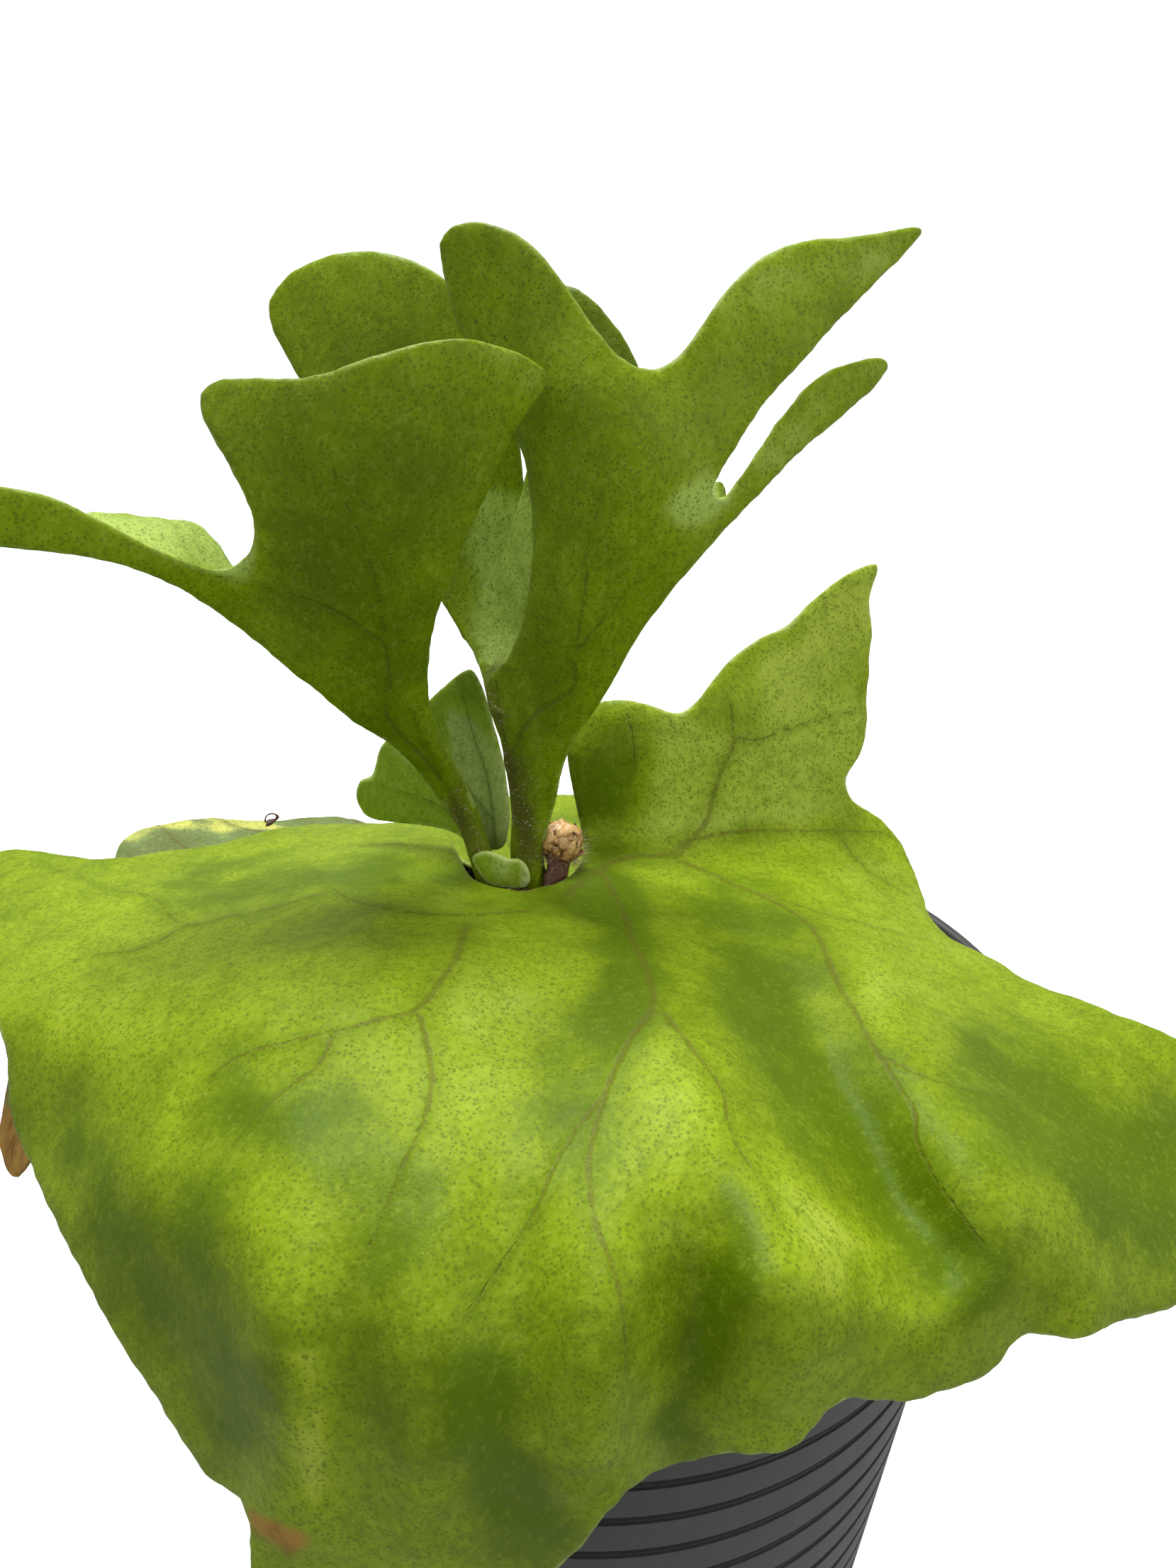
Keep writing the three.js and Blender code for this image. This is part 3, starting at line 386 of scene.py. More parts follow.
strands = bmesh.new()
strands.verts.layers.float.new("shade")
for _ in range(STRAND_COUNT):
    place = on_medium(draw, STRAND_REACH)
    length = draw.uniform(3, 9) * MM
    if room_round(place) < 0.5 * length + 1.2 * MM:
        continue
    angle = draw.uniform(0, 2 * math.pi)
    course = []
    for k in range(5):
        share = k / 4 - 0.5
        angle += draw.gauss(0, 0.25)
        step = Vector((math.cos(angle), math.sin(angle), 0)) * length * share
        step.z = (0.25 - share ** 2) * length * 0.3 + 0.2 * MM
        course.append(place + step)
    radii = [0.1 * MM, 0.22 * MM, 0.26 * MM, 0.2 * MM, 0.08 * MM]
    shade_verts(strands, add_thread(strands, course, radii), draw.random())
bmesh.ops.recalc_face_normals(strands, faces=strands.faces)
moss_finish = bark_finish("dry_moss", STRAND_GREEN, STRAND_DRY, 0.8 * MM)
new_piece("moss_strands", strands, moss_finish, 80)

# The rhizome is a short creeping woody stem, half sunk in the medium. Brown scales lie over it
# like shingles, and its growing tip is the bud, wrapped in glossy golden papery scales.
VIEW_EYE = Vector((-2.4, -125, 162.4)) * MM
VIEW_DOWN = math.radians(21)
VIEW_ROLL = math.radians(4)
VIEW_WIDTH = 1659
VIEW_HEIGHT = 2212
VIEW_FOCAL = 1662
view_turn = Matrix.Rotation(math.pi / 2 - VIEW_DOWN, 3, "X") @ Matrix.Rotation(VIEW_ROLL, 3, "Z")


def sight_line(spot):
    """The direction from the eye through a place in the view, in pixels across and down."""
    across = (spot[0] - VIEW_WIDTH / 2) / VIEW_FOCAL
    up = (VIEW_HEIGHT / 2 - spot[1]) / VIEW_FOCAL
    return view_turn @ Vector((across, up, -1))


def seen_at(spot, back):
    """The point of a sight line that lies at a given distance back."""
    line = sight_line(spot)
    return VIEW_EYE + line * ((back - VIEW_EYE.y) / line.y)


RHIZOME_CENTRE = Vector((-7, 7, 92)) * MM
RHIZOME_RADII = Vector((9.5, 7, 5)) * MM
BUD_CENTRE = seen_at((791, 1187), 10.3 * MM)
BUD_RADIUS = 2.1 * MM
BUD_SCALES = 42
RHIZOME_SCALES = 330
BUD_HAIRS = 240
SPIRAL_TURN = math.radians(137.5)
PAPER = 0.09 * MM
STALK_ROOM = 4.2 * MM
BUD_ROOM = 3 * MM
BUD_GOLD = (0.24, 0.08, 0.016, 1)
BUD_PALE = (0.97, 0.62, 0.24, 1)
SCALE_BROWN = (0.07, 0.018, 0.007, 1)
SCALE_TAN = (0.34, 0.15, 0.045, 1)
HAIR_PALE = (0.6, 0.5, 0.33, 1)


def scale_finish(name, dark, light, roughness):
    finish, coords, connect = new_finish(name, Roughness=roughness, Coat_Weight=0.35, Coat_Roughness=0.25)
    shade = coords.node("ShaderNodeAttribute", {}, out="Fac", attribute_name="shade")
    streaks = coords.noise(0.35 * MM, 4, 0.6)
    connect("Base Color", (shade * 0.75 + streaks.step(0.35, 0.7) * 0.35 - 0.1).tint(dark, light))
    connect("Roughness", streaks * 0.3 + (roughness - 0.12))
    connect("Normal", streaks.bump(0.12 * MM, 0.7))
    return finish


def add_scale(shape, place, length, width, curl, shade, crinkle=0.03 * MM, tip=0.35):
    """Adds a thin pointed scale, cupped across and curled along, standing in a given frame."""
    layer = shape.verts.layers.float["shade"]
    made = bmesh.ops.create_grid(shape, x_segments=5, y_segments=7, size=0.5)["verts"]
    for vert in made:
        along = vert.co.y + 0.5
        across = vert.co.x * 2
        wide = width * (1 - along ** 2.2) ** 0.8 * (0.75 + 0.5 * along)
        vert[layer] = min(1.0, shade + tip * along)
        vert.co = Vector((0.5 * across * wide, along * length,
                          curl * along ** 2 * length + 0.3 * wide * (1 - across ** 2)))
    bmesh.ops.transform(shape, matrix=place, verts=made)
    for vert in made:
        vert.co += noise.noise_vector(vert.co / (0.6 * MM)) * crinkle


def standing(point, outward, along):
    """A frame at a point with its height outward and its length as near as can be along."""
    side = along.cross(outward).normalized()
    length = outward.cross(side).normalized()
    frame_turn = Matrix((side, length, outward.normalized())).transposed().to_4x4()
    return Matrix.Translation(point) @ frame_turn


rhizome_shape = merged_copy("rhizome_with_bud")
bmesh.ops.subdivide_edges(rhizome_shape, edges=rhizome_shape.edges, cuts=2, use_grid_fill=True)
bmesh.ops.triangulate(rhizome_shape, faces=rhizome_shape.faces)
for _ in range(3):
    bmesh.ops.smooth_vert(rhizome_shape, verts=rhizome_shape.verts, factor=0.5,
                          use_axis_x=True, use_axis_y=True, use_axis_z=True)
shade_verts(rhizome_shape, rhizome_shape.verts, 0.1)
bud_verts = [vert for vert in rhizome_shape.verts if (vert.co - BUD_CENTRE).length < 1.25 * BUD_RADIUS]
shade_verts(rhizome_shape, bud_verts, 0.5)
rhizome = new_piece("rhizome_wood", rhizome_shape, scale_finish("rhizome_bark", SCALE_BROWN, SCALE_TAN, 0.6),
                    60)
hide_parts("rhizome_with_bud")

draw = random.Random(5)
bud = bmesh.new()
bud.verts.layers.float.new("shade")
for k in range(BUD_SCALES):
    share = k / (BUD_SCALES - 1)
    turn = k * SPIRAL_TURN
    tilt = math.radians(-50 + 125 * share)
    outward = Vector((math.cos(turn) * math.cos(tilt), math.sin(turn) * math.cos(tilt), math.sin(tilt)))
    along = Vector((-math.cos(turn) * math.sin(tilt), -math.sin(turn) * math.sin(tilt), math.cos(tilt)))
    along += Vector((draw.gauss(0, 0.3), draw.gauss(0, 0.3), 0))
    foot = BUD_CENTRE + outward * (BUD_RADIUS * (0.95 + 0.08 * draw.random())) - along * 0.9 * MM
    place = standing(foot, outward, along)
    length = draw.uniform(2.1, 3) * MM
    width = draw.uniform(1.5, 2.3) * MM
    curl = draw.uniform(-0.24, 0.06)
    add_scale(bud, place, length, width, curl, 0.3 * share + draw.uniform(-0.3, 0.3), 0.17 * MM, 0.9)
bud_finish = scale_finish("bud_paper", BUD_GOLD, BUD_PALE, 0.36)
bud_scales = new_piece("bud_scales", bud, bud_finish, 18)
thick = bud_scales.modifiers.new("paper", "SOLIDIFY")
thick.thickness = PAPER
thick.offset = 0

STALK_FEET = [RHIZOME_CENTRE + Vector((-6.3, 2, 2)) * MM, RHIZOME_CENTRE + Vector((-1, 2.5, 1.5)) * MM]
shingles = bmesh.new()
shingles.verts.layers.float.new("shade")
for _ in range(RHIZOME_SCALES):
    turn = draw.uniform(0, 2 * math.pi)
    tilt = math.asin(draw.uniform(-0.1, 1))
    unit = Vector((math.cos(turn) * math.cos(tilt), math.sin(turn) * math.cos(tilt), math.sin(tilt)))
    point = RHIZOME_CENTRE + Vector([unit[k] * RHIZOME_RADII[k] for k in range(3)])
    outward = Vector([unit[k] / RHIZOME_RADII[k] for k in range(3)]).normalized()
    near_stalk = min((point - foot).length for foot in STALK_FEET) < STALK_ROOM
    if near_stalk or (point - BUD_CENTRE).length < BUD_ROOM:
        continue
    along = (BUD_CENTRE - point).normalized()
    along += Vector((draw.gauss(0, 0.5), draw.gauss(0, 0.5), draw.gauss(0, 0.3)))
    place = standing(point - outward * 0.1 * MM, outward, along)
    length = draw.uniform(1.6, 2.6) * MM
    width = draw.uniform(0.6, 1) * MM
    add_scale(shingles, place, length, width, 0.12, draw.uniform(0, 0.7))
shingle_finish = scale_finish("rhizome_shingle", SCALE_BROWN, SCALE_TAN, 0.55)
rhizome_scales = new_piece("rhizome_scales", shingles, shingle_finish, 80)
thick = rhizome_scales.modifiers.new("paper", "SOLIDIFY")
thick.thickness = PAPER
thick.offset = 0

bud_hairs = bmesh.new()
bud_hairs.verts.layers.float.new("shade")
for _ in range(BUD_HAIRS):
    turn = draw.uniform(0, 2 * math.pi)
    outward = Vector((math.cos(turn), math.sin(turn), draw.uniform(-0.6, 0.9))).normalized()
    root = BUD_CENTRE + Vector((0, 0, -1.6 * MM)) + outward * BUD_RADIUS * 0.95
    length = draw.uniform(0.9, 2.1) * MM
    bend = Vector((draw.gauss(0, 0.3), draw.gauss(0, 0.3), draw.gauss(0, 0.3))) * length
    course = [root, root + outward * length * 0.5 + bend * 0.3, root + outward * length + bend]
    radii = [0.035 * MM, 0.028 * MM, 0.008 * MM]
    shade_verts(bud_hairs, add_thread(bud_hairs, course, radii, 3), draw.uniform(0.4, 1))
bmesh.ops.recalc_face_normals(bud_hairs, faces=bud_hairs.faces)
hair_finish = scale_finish("bud_hair", SCALE_TAN, HAIR_PALE, 0.5)
new_piece("bud_hairs", bud_hairs, hair_finish, 80)

# The front shield frond is one soft leathery blade. It rises from the hollow round the rhizome,
# spreads over the rim and hangs in folds, freckled, with brownish veins and a pale thin margin.
BLADE = 1 * MM
FRECKLE_PITCH = 0.46 * MM
SPECK_PITCH = 2.4 * MM
FLAKE_PITCH = 0.5 * MM
RIPPLE_WAVE = 9 * MM
FINE_RIPPLE_WAVE = 3.5 * MM
VEIN_RISE = 0.12 * MM
VEIN_REACH = 0.8
FINER_NEAR_VEIN = 1.5
NO_VEIN = 99
MARK_WAVE = 7 * MM
MARK_STRAY = 34
NET_PITCH = 8 * MM
NET_STRAY = 5 * MM
RIM_ANGLE = math.radians(72)
# The lit and deep greens are one leaf green lit and in painted shade; the pale green is painted light as
# well as pale grain, and the deep green also darkens grain, the vein net and the vein halos.
SHIELD_PALE = (0.43, 0.55, 0.06, 1)
SHIELD_LIT = (0.28, 0.39, 0.01, 1)
SHIELD_DEEP = (0.1, 0.17, 0.001, 1)
SHIELD_VEIN = (0.13, 0.115, 0.015, 1)
SHIELD_FRECKLE = (0.1, 0.14, 0.006, 1)
MARGIN_PALE = (0.56, 0.66, 0.24, 1)
SCURF_BROWN = (0.085, 0.07, 0.016, 1)
SCURF_PALE = (0.55, 0.5, 0.38, 1)
DRY_GOLD = (0.42, 0.24, 0.05, 1)
DRY_BROWN = (0.09, 0.035, 0.012, 1)


def leaf_finish(name, pale, lit, shade_and_tone, vein, freckle, margin, freckled, roughness=0.46):
    """Leaf skin: mottled streaky greens with painted shade and light, freckles, veins, a thin margin, dry
    and scurfy parts.
    """
    finish, coords, connect = new_finish(name, Roughness=roughness, Specular_IOR_Level=0.12)

    def mask(attribute):
        return coords.node("ShaderNodeAttribute", {}, out="Fac", attribute_name=attribute)

    broad = coords.noise(24 * MM, 3, 0.55)
    middle = coords.noise(5 * MM, 4, 0.6)
    grain = coords.stretched(1, 1, 0.65).noise(0.7 * MM, 4, 0.7)
    fine = coords.noise(0.3 * MM, 2, 0.6)
    quilted = coords.noise(11 * MM, 3, 0.6)
    # Painted shade and light: view marks darken folds and shadowed faces and, where negative, lighten lit
    # faces; noise adds the leaf's own mottling.
    shading_and_tone = mask("shade_and_tone") * (quilted * 1.4 + 0.3) + (middle - 0.5) * 0.8 + (broad - 0.5) * 0.6
    colour = shading_and_tone.step(0.05, 1.0).tint(lit, shade_and_tone)
    colour = shading_and_tone.step(0.25, -0.45).tint(colour, pale)
    colour = (grain.step(0.46, 0.7) * 0.45).tint(colour, shade_and_tone)
    colour = (grain.step(0.5, 0.3) * fine * 0.35).tint(colour, pale)
    crowd = coords.noise(6 * MM, 3).step(0.05, 0.5) * coords.noise(1.5 * MM, 2).step(0.3, 0.5)
    freckles = coords.cells(FRECKLE_PITCH).step(0.5, 0.1) * crowd * mask("freckled") * freckled
    colour = freckles.tint(colour, freckle)
    specks = coords.cells(SPECK_PITCH).step(0.13, 0.07) * coords.noise(9 * MM).step(0.48, 0.58) * 0.6
    colour = specks.tint(colour, freckle)
    wobble = mask("vein") + (coords.noise(1.1 * MM, 3) - 0.5) * 0.7
    line = wobble.step(0.66, 0.1)
    halo = wobble.step(3.4, 0.4)
    stray = coords.node("ShaderNodeTexNoise", {"Vector": coords, "Scale": 1 / NET_STRAY}, out="Color")
    bent = coords.node("ShaderNodeVectorMath", {0: stray, 1: (NET_STRAY,) * 3, 2: coords},
                       operation="MULTIPLY_ADD")
    net = bent.cells(NET_PITCH, "DISTANCE_TO_EDGE").step(0.1, 0.0) * broad.step(0.3, 0.6)
    colour = (net * 0.24).tint(colour, shade_and_tone)
    colour = (halo * 0.28).tint(colour, shade_and_tone)
    colour = (line * (fine * 0.6 + 0.25)).tint(colour, vein)
    edge = mask("rim").step(0.75, 0.2)
    colour = (edge * 0.55).tint(colour, margin)
    scurf = (mask("scurf") + (middle - 0.5) * 0.4 + (fine - 0.5) * 0.3).step(0.3, 0.9)
    colour = (scurf * 0.8).tint(colour, SCURF_BROWN)
    flakes = coords.cells(FLAKE_PITCH).step(0.34, 0.14) * coords.noise(1.8 * MM, 2).step(0.36, 0.54) * scurf
    colour = (flakes * 0.75).tint(colour, SCURF_PALE)
    dry = (mask("dry") + (middle - 0.5) * 0.5).step(0.35, 0.75)
    dry_colour = middle.step(0.42, 0.8).tint(DRY_GOLD, DRY_BROWN)
    colour = dry.tint(colour, dry_colour)
    connect("Base Color", colour)
    connect("Roughness", fine * 0.14 + dry * 0.25 + scurf * 0.2 + (roughness - 0.08))
    relief = fine * 0.4 + grain * 0.8 + middle * 1.2 - line * 0.8 + flakes * 0.8
    connect("Normal", relief.bump(0.15 * MM, 0.8))
    return finish


def points_tree(points):
    """A search tree of points. Each carries a width, by which the distance to it is divided."""
    tree = KDTree(len(points))
    for k, (point, _) in enumerate(points):
        tree.insert(point, k)
    tree.balance()

    def distance(place):
        _, k, away = tree.find(place)
        return away / points[k][1] / MM

    return distance


def rim_distance(shape):
    """Distance to a blade's outline, where its faces meet the thin wall round it, in mm."""
    points = []
    for edge in shape.edges:
        if edge.is_manifold and edge.calc_face_angle_signed() > RIM_ANGLE:
            start, end = (vert.co for vert in edge.verts)
            points += [(start.lerp(end, k / 4), 1) for k in range(4)]
    return points_tree(points)


def view_spot(place):
    """The place in the view, in pixels across and down, at which a point is seen."""
    seen = view_turn.transposed() @ (place - VIEW_EYE)
    across = VIEW_WIDTH / 2 - VIEW_FOCAL * seen.x / seen.z
    down = VIEW_HEIGHT / 2 + VIEW_FOCAL * seen.y / seen.z
    return Vector((across, down, 0))


def soft_marks(marks):
    """A field over the view that sums soft bands. Each mark has places, a reach, a strength and,
    where only what lies behind counts, the least distance back in mm."""
    bands = []
    for places, reach, strength, *behind in marks:
        course = [Vector((*place, 0)) for place in places]
        bands.append((list(zip(course, course[1:])) or [(course[0], course[0])], reach, strength, behind))

    def nearest(spot, start, end):
        along = end - start
        if not along.length_squared:
            return (spot - start).length
        share = min(1.0, max(0.0, (spot - start).dot(along) / along.length_squared))
        return (spot - start - along * share).length

    def field(spot, back):
        total = 0.0
        for pieces, reach, strength, behind in bands:
            if behind and back < behind[0] * MM:
                continue
            away = min(nearest(spot, start, end) for start, end in pieces) / reach
            if away < 3:
                total += strength * math.exp(-away * away)
        return total

    return field


def casts(lines, tree):
    """Veins drawn in the view, each a list of places and a width, laid on a blade's surface."""
    points = []
    for places, width in lines:
        course = smooth_line([Vector((*place, 0)) for place in places], 24)
        for k, spot in enumerate(course):
            hit = tree.ray_cast(VIEW_EYE, sight_line(spot.xy))[0]
            if hit:
                points.append((hit, width * (0.85 - 0.6 * k / len(course))))
    return points


def dress_frond(node, name, finish, levels=2, vein_points=None, marks=None, ripple=0.25 * MM, relax=4):
    """Makes the fine blade of a frond from its node: smooth, softly rippled, with raised veins.
    Marks are fields over the view, by the name of the attribute that they add to, painted shade and light
    among them."""
    rough = merged_copy(node)
    to_rim = rim_distance(rough)
    piece = new_piece(name, rough, finish, 80)
    finer = piece.modifiers.new("finer", "SUBSURF")
    finer.levels = levels
    finer.render_levels = levels
    apply_modifiers(piece)
    shape = bmesh.new()
    shape.from_mesh(piece.data)
    for _ in range(relax):
        bmesh.ops.smooth_vert(shape, verts=shape.verts, factor=0.5,
                              use_axis_x=True, use_axis_y=True, use_axis_z=True)
    shape.normal_update()
    points = vein_points(BVHTree.FromBMesh(shape)) if vein_points else []
    to_vein = points_tree(points) if points else (lambda place: NO_VEIN)
    near_veins = {vert for vert in shape.verts if to_vein(vert.co) < FINER_NEAR_VEIN}
    edges = [edge for edge in shape.edges if near_veins.issuperset(edge.verts)]
    bmesh.ops.subdivide_edges(shape, edges=edges, cuts=1, use_grid_fill=True)
    bmesh.ops.triangulate(shape, faces=shape.faces)
    plain = {"rim": 0, "vein": 0, "shade_and_tone": 0.4, "dry": 0, "scurf": 0, "freckled": 1}
    layers = {field: shape.verts.layers.float.new(field) for field in plain}
    for vert in shape.verts:
        through = vert.co - vert.normal * BLADE
        away = min(to_vein(vert.co), to_vein(through))
        spot = view_spot(vert.co)
        spot += noise.noise_vector(vert.co / MARK_WAVE) * MARK_STRAY
        vert[layers["rim"]] = to_rim(vert.co)
        vert[layers["vein"]] = away
        for field in ("shade_and_tone", "dry", "scurf", "freckled"):
            vert[layers[field]] = plain[field]
        for field in marks or {}:
            vert[layers[field]] += marks[field](spot, vert.co.y)
        vert.co += noise.noise_vector(vert.co / RIPPLE_WAVE) * ripple
        vert.co += noise.noise_vector(vert.co / FINE_RIPPLE_WAVE) * ripple * 0.35
        vert.co += vert.normal * VEIN_RISE * math.exp(-(away / VEIN_REACH) ** 2)
    shape.to_mesh(piece.data)
    shape.free()
    piece.data.shade_smooth()
    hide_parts(node)


FRONT_VEINS = [
    ([(750, 1285), (700, 1290), (620, 1293), (560, 1288), (500, 1272), (460, 1250), (430, 1215)], 1.3),
    ([(460, 1262), (400, 1277), (340, 1292), (262, 1306), (215, 1270), (165, 1260), (100, 1235),
      (50, 1212)], 1.0),
    ([(262, 1306), (200, 1340), (120, 1350), (40, 1385)], 0.7),
    ([(660, 1306), (638, 1362), (589, 1426), (539, 1440), (489, 1455), (355, 1483), (298, 1518)], 1.2),
    ([(592, 1433), (606, 1497), (603, 1554), (582, 1618), (560, 1667), (520, 1760)], 0.9),
    ([(468, 1469), (447, 1504), (397, 1540), (333, 1611), (270, 1720)], 0.8),
    ([(820, 1225), (857, 1242), (885, 1306), (913, 1370), (921, 1419), (892, 1462), (857, 1540), (832, 1632),
      (843, 1724), (871, 1809), (880, 1930)], 1.5),
    ([(935, 1433), (977, 1490), (1020, 1540), (1034, 1604), (1084, 1689), (1112, 1760)], 0.9),
    ([(857, 1540), (800, 1610), (760, 1700), (700, 1790), (640, 1880)], 0.7),
    ([(960, 1215), (1048, 1252), (1112, 1284), (1148, 1313), (1169, 1362), (1197, 1419), (1240, 1490),
      (1289, 1568), (1296, 1611), (1325, 1667), (1389, 1752)], 1.3),
    ([(1070, 1260), (1176, 1291), (1254, 1313), (1339, 1334)], 0.8),
    ([(1240, 1490), (1330, 1530), (1450, 1560), (1560, 1620)], 0.7),
    ([(800, 1263), (871, 1213), (942, 1203), (970, 1185), (1034, 1174), (1105, 1171), (1197, 1174),
      (1254, 1178)], 1.6),
    ([(1176, 1178), (1225, 1228), (1296, 1270)], 0.8),
    ([(953, 1208), (993, 1161), (1006, 1114), (1033, 1054), (1040, 1040), (1073, 1044), (1140, 1020),
      (1214, 1000)], 1.2),
    ([(1036, 1033), (1030, 1000), (1020, 960)], 0.8),
    ([(885, 1010), (892, 1050), (896, 1094)], 0.7),
]
# Painted shade in the folds, the hollow round the bud and under the right antler's stalk, and painted light,
# where negative, on ridges and the flat top behind the bud; some marks are the leaf's own dark patches.
FRONT_SHADE_AND_TONE = [
    ([(1032, 1290), (1092, 1410), (1172, 1550), (1292, 1710), (1392, 1800)], 62, 0.75),
    ([(860, 1250), (890, 1350), (880, 1420)], 46, 0.6),
    ([(820, 1480), (790, 1560)], 60, 0.3),
    ([(1472, 1550), (1552, 1670), (1640, 1720)], 62, 0.65),
    ([(1380, 1500), (1420, 1600)], 50, 0.45),
    ([(1640, 1600), (1740, 1700)], 70, 0.5),
    ([(1050, 1690), (1055, 1790)], 48, 0.6),
    ([(1010, 1800), (990, 1900), (952, 2020)], 36, 0.7),
    ([(1000, 1120), (1100, 1080), (1160, 1030)], 80, -0.9),
    ([(1130, 930), (1210, 850)], 50, -0.9),
    ([(900, 1010), (960, 1060)], 40, -0.4),
    ([(672, 1960), (692, 2070), (760, 2170)], 64, 0.6),
    ([(262, 1690), (300, 1850), (340, 2000)], 44, 0.4),
    ([(90, 1560), (160, 1700), (230, 1880)], 44, 0.3),
    ([(352, 1560), (480, 1600)], 60, 0.45),
    ([(560, 1680), (520, 1850), (540, 2100)], 60, 0.35),
    ([(230, 1262), (420, 1240), (560, 1235)], 30, 0.45),
    ([(640, 1235), (745, 1275), (830, 1250)], 24, 0.35),
    ([(840, 1130), (870, 1060)], 44, 0.5),
    ([(1150, 1460), (1230, 1400)], 40, -0.4),
    ([(700, 1400), (640, 1520)], 110, -0.35),
    ([(940, 1520), (980, 1620)], 60, -0.4),
    ([(1100, 1680), (1180, 1780)], 50, -0.5),
    ([(1210, 1250), (1330, 1400)], 60, -0.25),
    ([(420, 1920), (430, 2080)], 26, -0.6),
    ([(940, 1120), (1010, 1090)], 60, -0.35),
    ([(330, 1380), (150, 1420)], 80, -0.25),
]
FRONT_DRY = [([(350, 2150), (430, 2190)], 30, 0.75), ([(40, 1640)], 60, 0.25)]

shield_finish = leaf_finish("shield_leaf", SHIELD_PALE, SHIELD_LIT, SHIELD_DEEP, SHIELD_VEIN, SHIELD_FRECKLE,
                            MARGIN_PALE, 0.7)
dress_frond("shield_frond_front", "front_shield", shield_finish,
            vein_points=lambda tree: casts(FRONT_VEINS, tree), ripple=0.36 * MM,
            marks={"shade_and_tone": soft_marks(FRONT_SHADE_AND_TONE), "dry": soft_marks(FRONT_DRY)})

# The back shield frond is a leathery blade like the front one. It grows from the rhizome's far
# side and lies over the rear of the rim, with veins that fan out from the rhizome.
FAN_STEPS = 120
ABOVE_POT = 20 * MM


def fanned(first, last, count, near, far, tree, sway=2.5):
    """Veins that fan out over a shield that lies over the rim, between two angles in degrees."""
    points = []
    for k in range(count):
        angle = first + (last - first) * k / (count - 1)
        for step in range(FAN_STEPS):
            share = step / (FAN_STEPS - 1)
            out = (near + (far - near) * share) * MM
            turn = math.radians(angle + sway * math.sin(7 * share + 2.1 * k))
            above = Vector((out * math.cos(turn), out * math.sin(turn), POT_HEIGHT + ABOVE_POT))
            hit = tree.ray_cast(above, Vector((0, 0, -1)))[0]
            if hit:
                points.append((hit, 1.2 - 0.7 * share))
    return points


dress_frond("shield_frond_back", "back_shield", shield_finish, levels=3,
            vein_points=lambda tree: fanned(44, 122, 8, 18, 76, tree))

# The old shield frond at the left rear is a grey-green blade from an earlier season. It lies over
# the rim, yellow along its torn edge and dry and brown at its end, with a small dried curl.
OLD_PALE = (0.56, 0.58, 0.13, 1)
OLD_LIT = (0.18, 0.26, 0.08, 1)
OLD_DEEP = (0.12, 0.15, 0.04, 1)
OLD_VEIN = (0.12, 0.09, 0.03, 1)

OLD_MARKS = {
    "shade_and_tone": [([(170, 1180), (260, 1162), (372, 1154)], 17, -1.5), ([(250, 1215)], 60, 0.2)],
    "dry": [([(10, 1620)], 110, 1.0), ([(388, 1155)], 12, 0.9)],
}

old_finish = leaf_finish("old_shield_leaf", OLD_PALE, OLD_LIT, OLD_DEEP, OLD_VEIN, OLD_VEIN, DRY_GOLD,
                         0.6, 0.6)
dress_frond("shield_frond_old", "old_shield", old_finish, levels=3,
            vein_points=lambda tree: fanned(136, 204, 7, 26, 74, tree),
            marks={field: soft_marks(marks) for field, marks in OLD_MARKS.items()})

CURL_STEPS = 22
CURL_WIDTH = 1.2 * MM
CURL_TURN = 5.2
CURL_THICKNESS = 0.2 * MM
CURL_REACH = 1.4 * MM
CURL_FOOT = seen_at((376, 1161), 30 * MM)
curl = bmesh.new()
bmesh.ops.create_grid(curl, x_segments=2, y_segments=CURL_STEPS, size=0.5)
for vert in curl.verts:
    share = vert.co.y + 0.5
    side = 2 * vert.co.x
    turn = CURL_TURN * share ** 1.3
    reach = CURL_REACH * (1 - 0.55 * share)
    aside = 0.3 * CURL_REACH * math.sin(4 * share)
    above = reach * (1 - math.cos(turn)) * 0.8
    middle = CURL_FOOT + Vector((reach * (math.sin(turn) + 0.9 * share), aside, above))
    width = CURL_WIDTH * (1 - 0.75 * share) * (1 + 0.25 * math.sin(9 * share))
    across = Vector((0.25 * math.sin(6 * share), 1, 0.5 * math.cos(5 * share))).normalized()
    vert.co = middle + across * side * width / 2
shade_verts(curl, curl.verts, 0.1)
curl_finish = scale_finish("dried_leaf", SCALE_BROWN, SCALE_TAN, 0.7)
dried_curl = new_piece("dried_curl", curl, curl_finish, 80)
thick = dried_curl.modifiers.new("paper", "SOLIDIFY")
thick.thickness = CURL_THICKNESS
thick.offset = 0

# The two young shield fronds are thin soft blades that stand up from the rhizome at the stalks'
# feet, one tall and one small. They are bright green with pale blotches.
YOUNG_PALE = (0.42, 0.54, 0.16, 1)
YOUNG_LIT = (0.27, 0.4, 0.02, 1)
YOUNG_DEEP = (0.12, 0.2, 0.006, 1)
YOUNG_VEIN = (0.07, 0.13, 0.015, 1)

TALL_VEINS = [
    ([(700, 1190), (690, 1110), (670, 1040), (650, 970)], 0.8),
    ([(690, 1150), (640, 1090), (580, 1050)], 0.6),
    ([(680, 1180), (610, 1130), (545, 1110)], 0.6),
]
TALL_BLOTCHES = [
    ([(640, 1030), (655, 1060)], 16, -0.9),
    ([(575, 1065)], 18, -0.7),
    ([(600, 1110)], 16, -0.5),
    ([(710, 1060), (716, 1160)], 18, -0.7),
    ([(665, 1040), (690, 1190)], 38, -0.9),
]

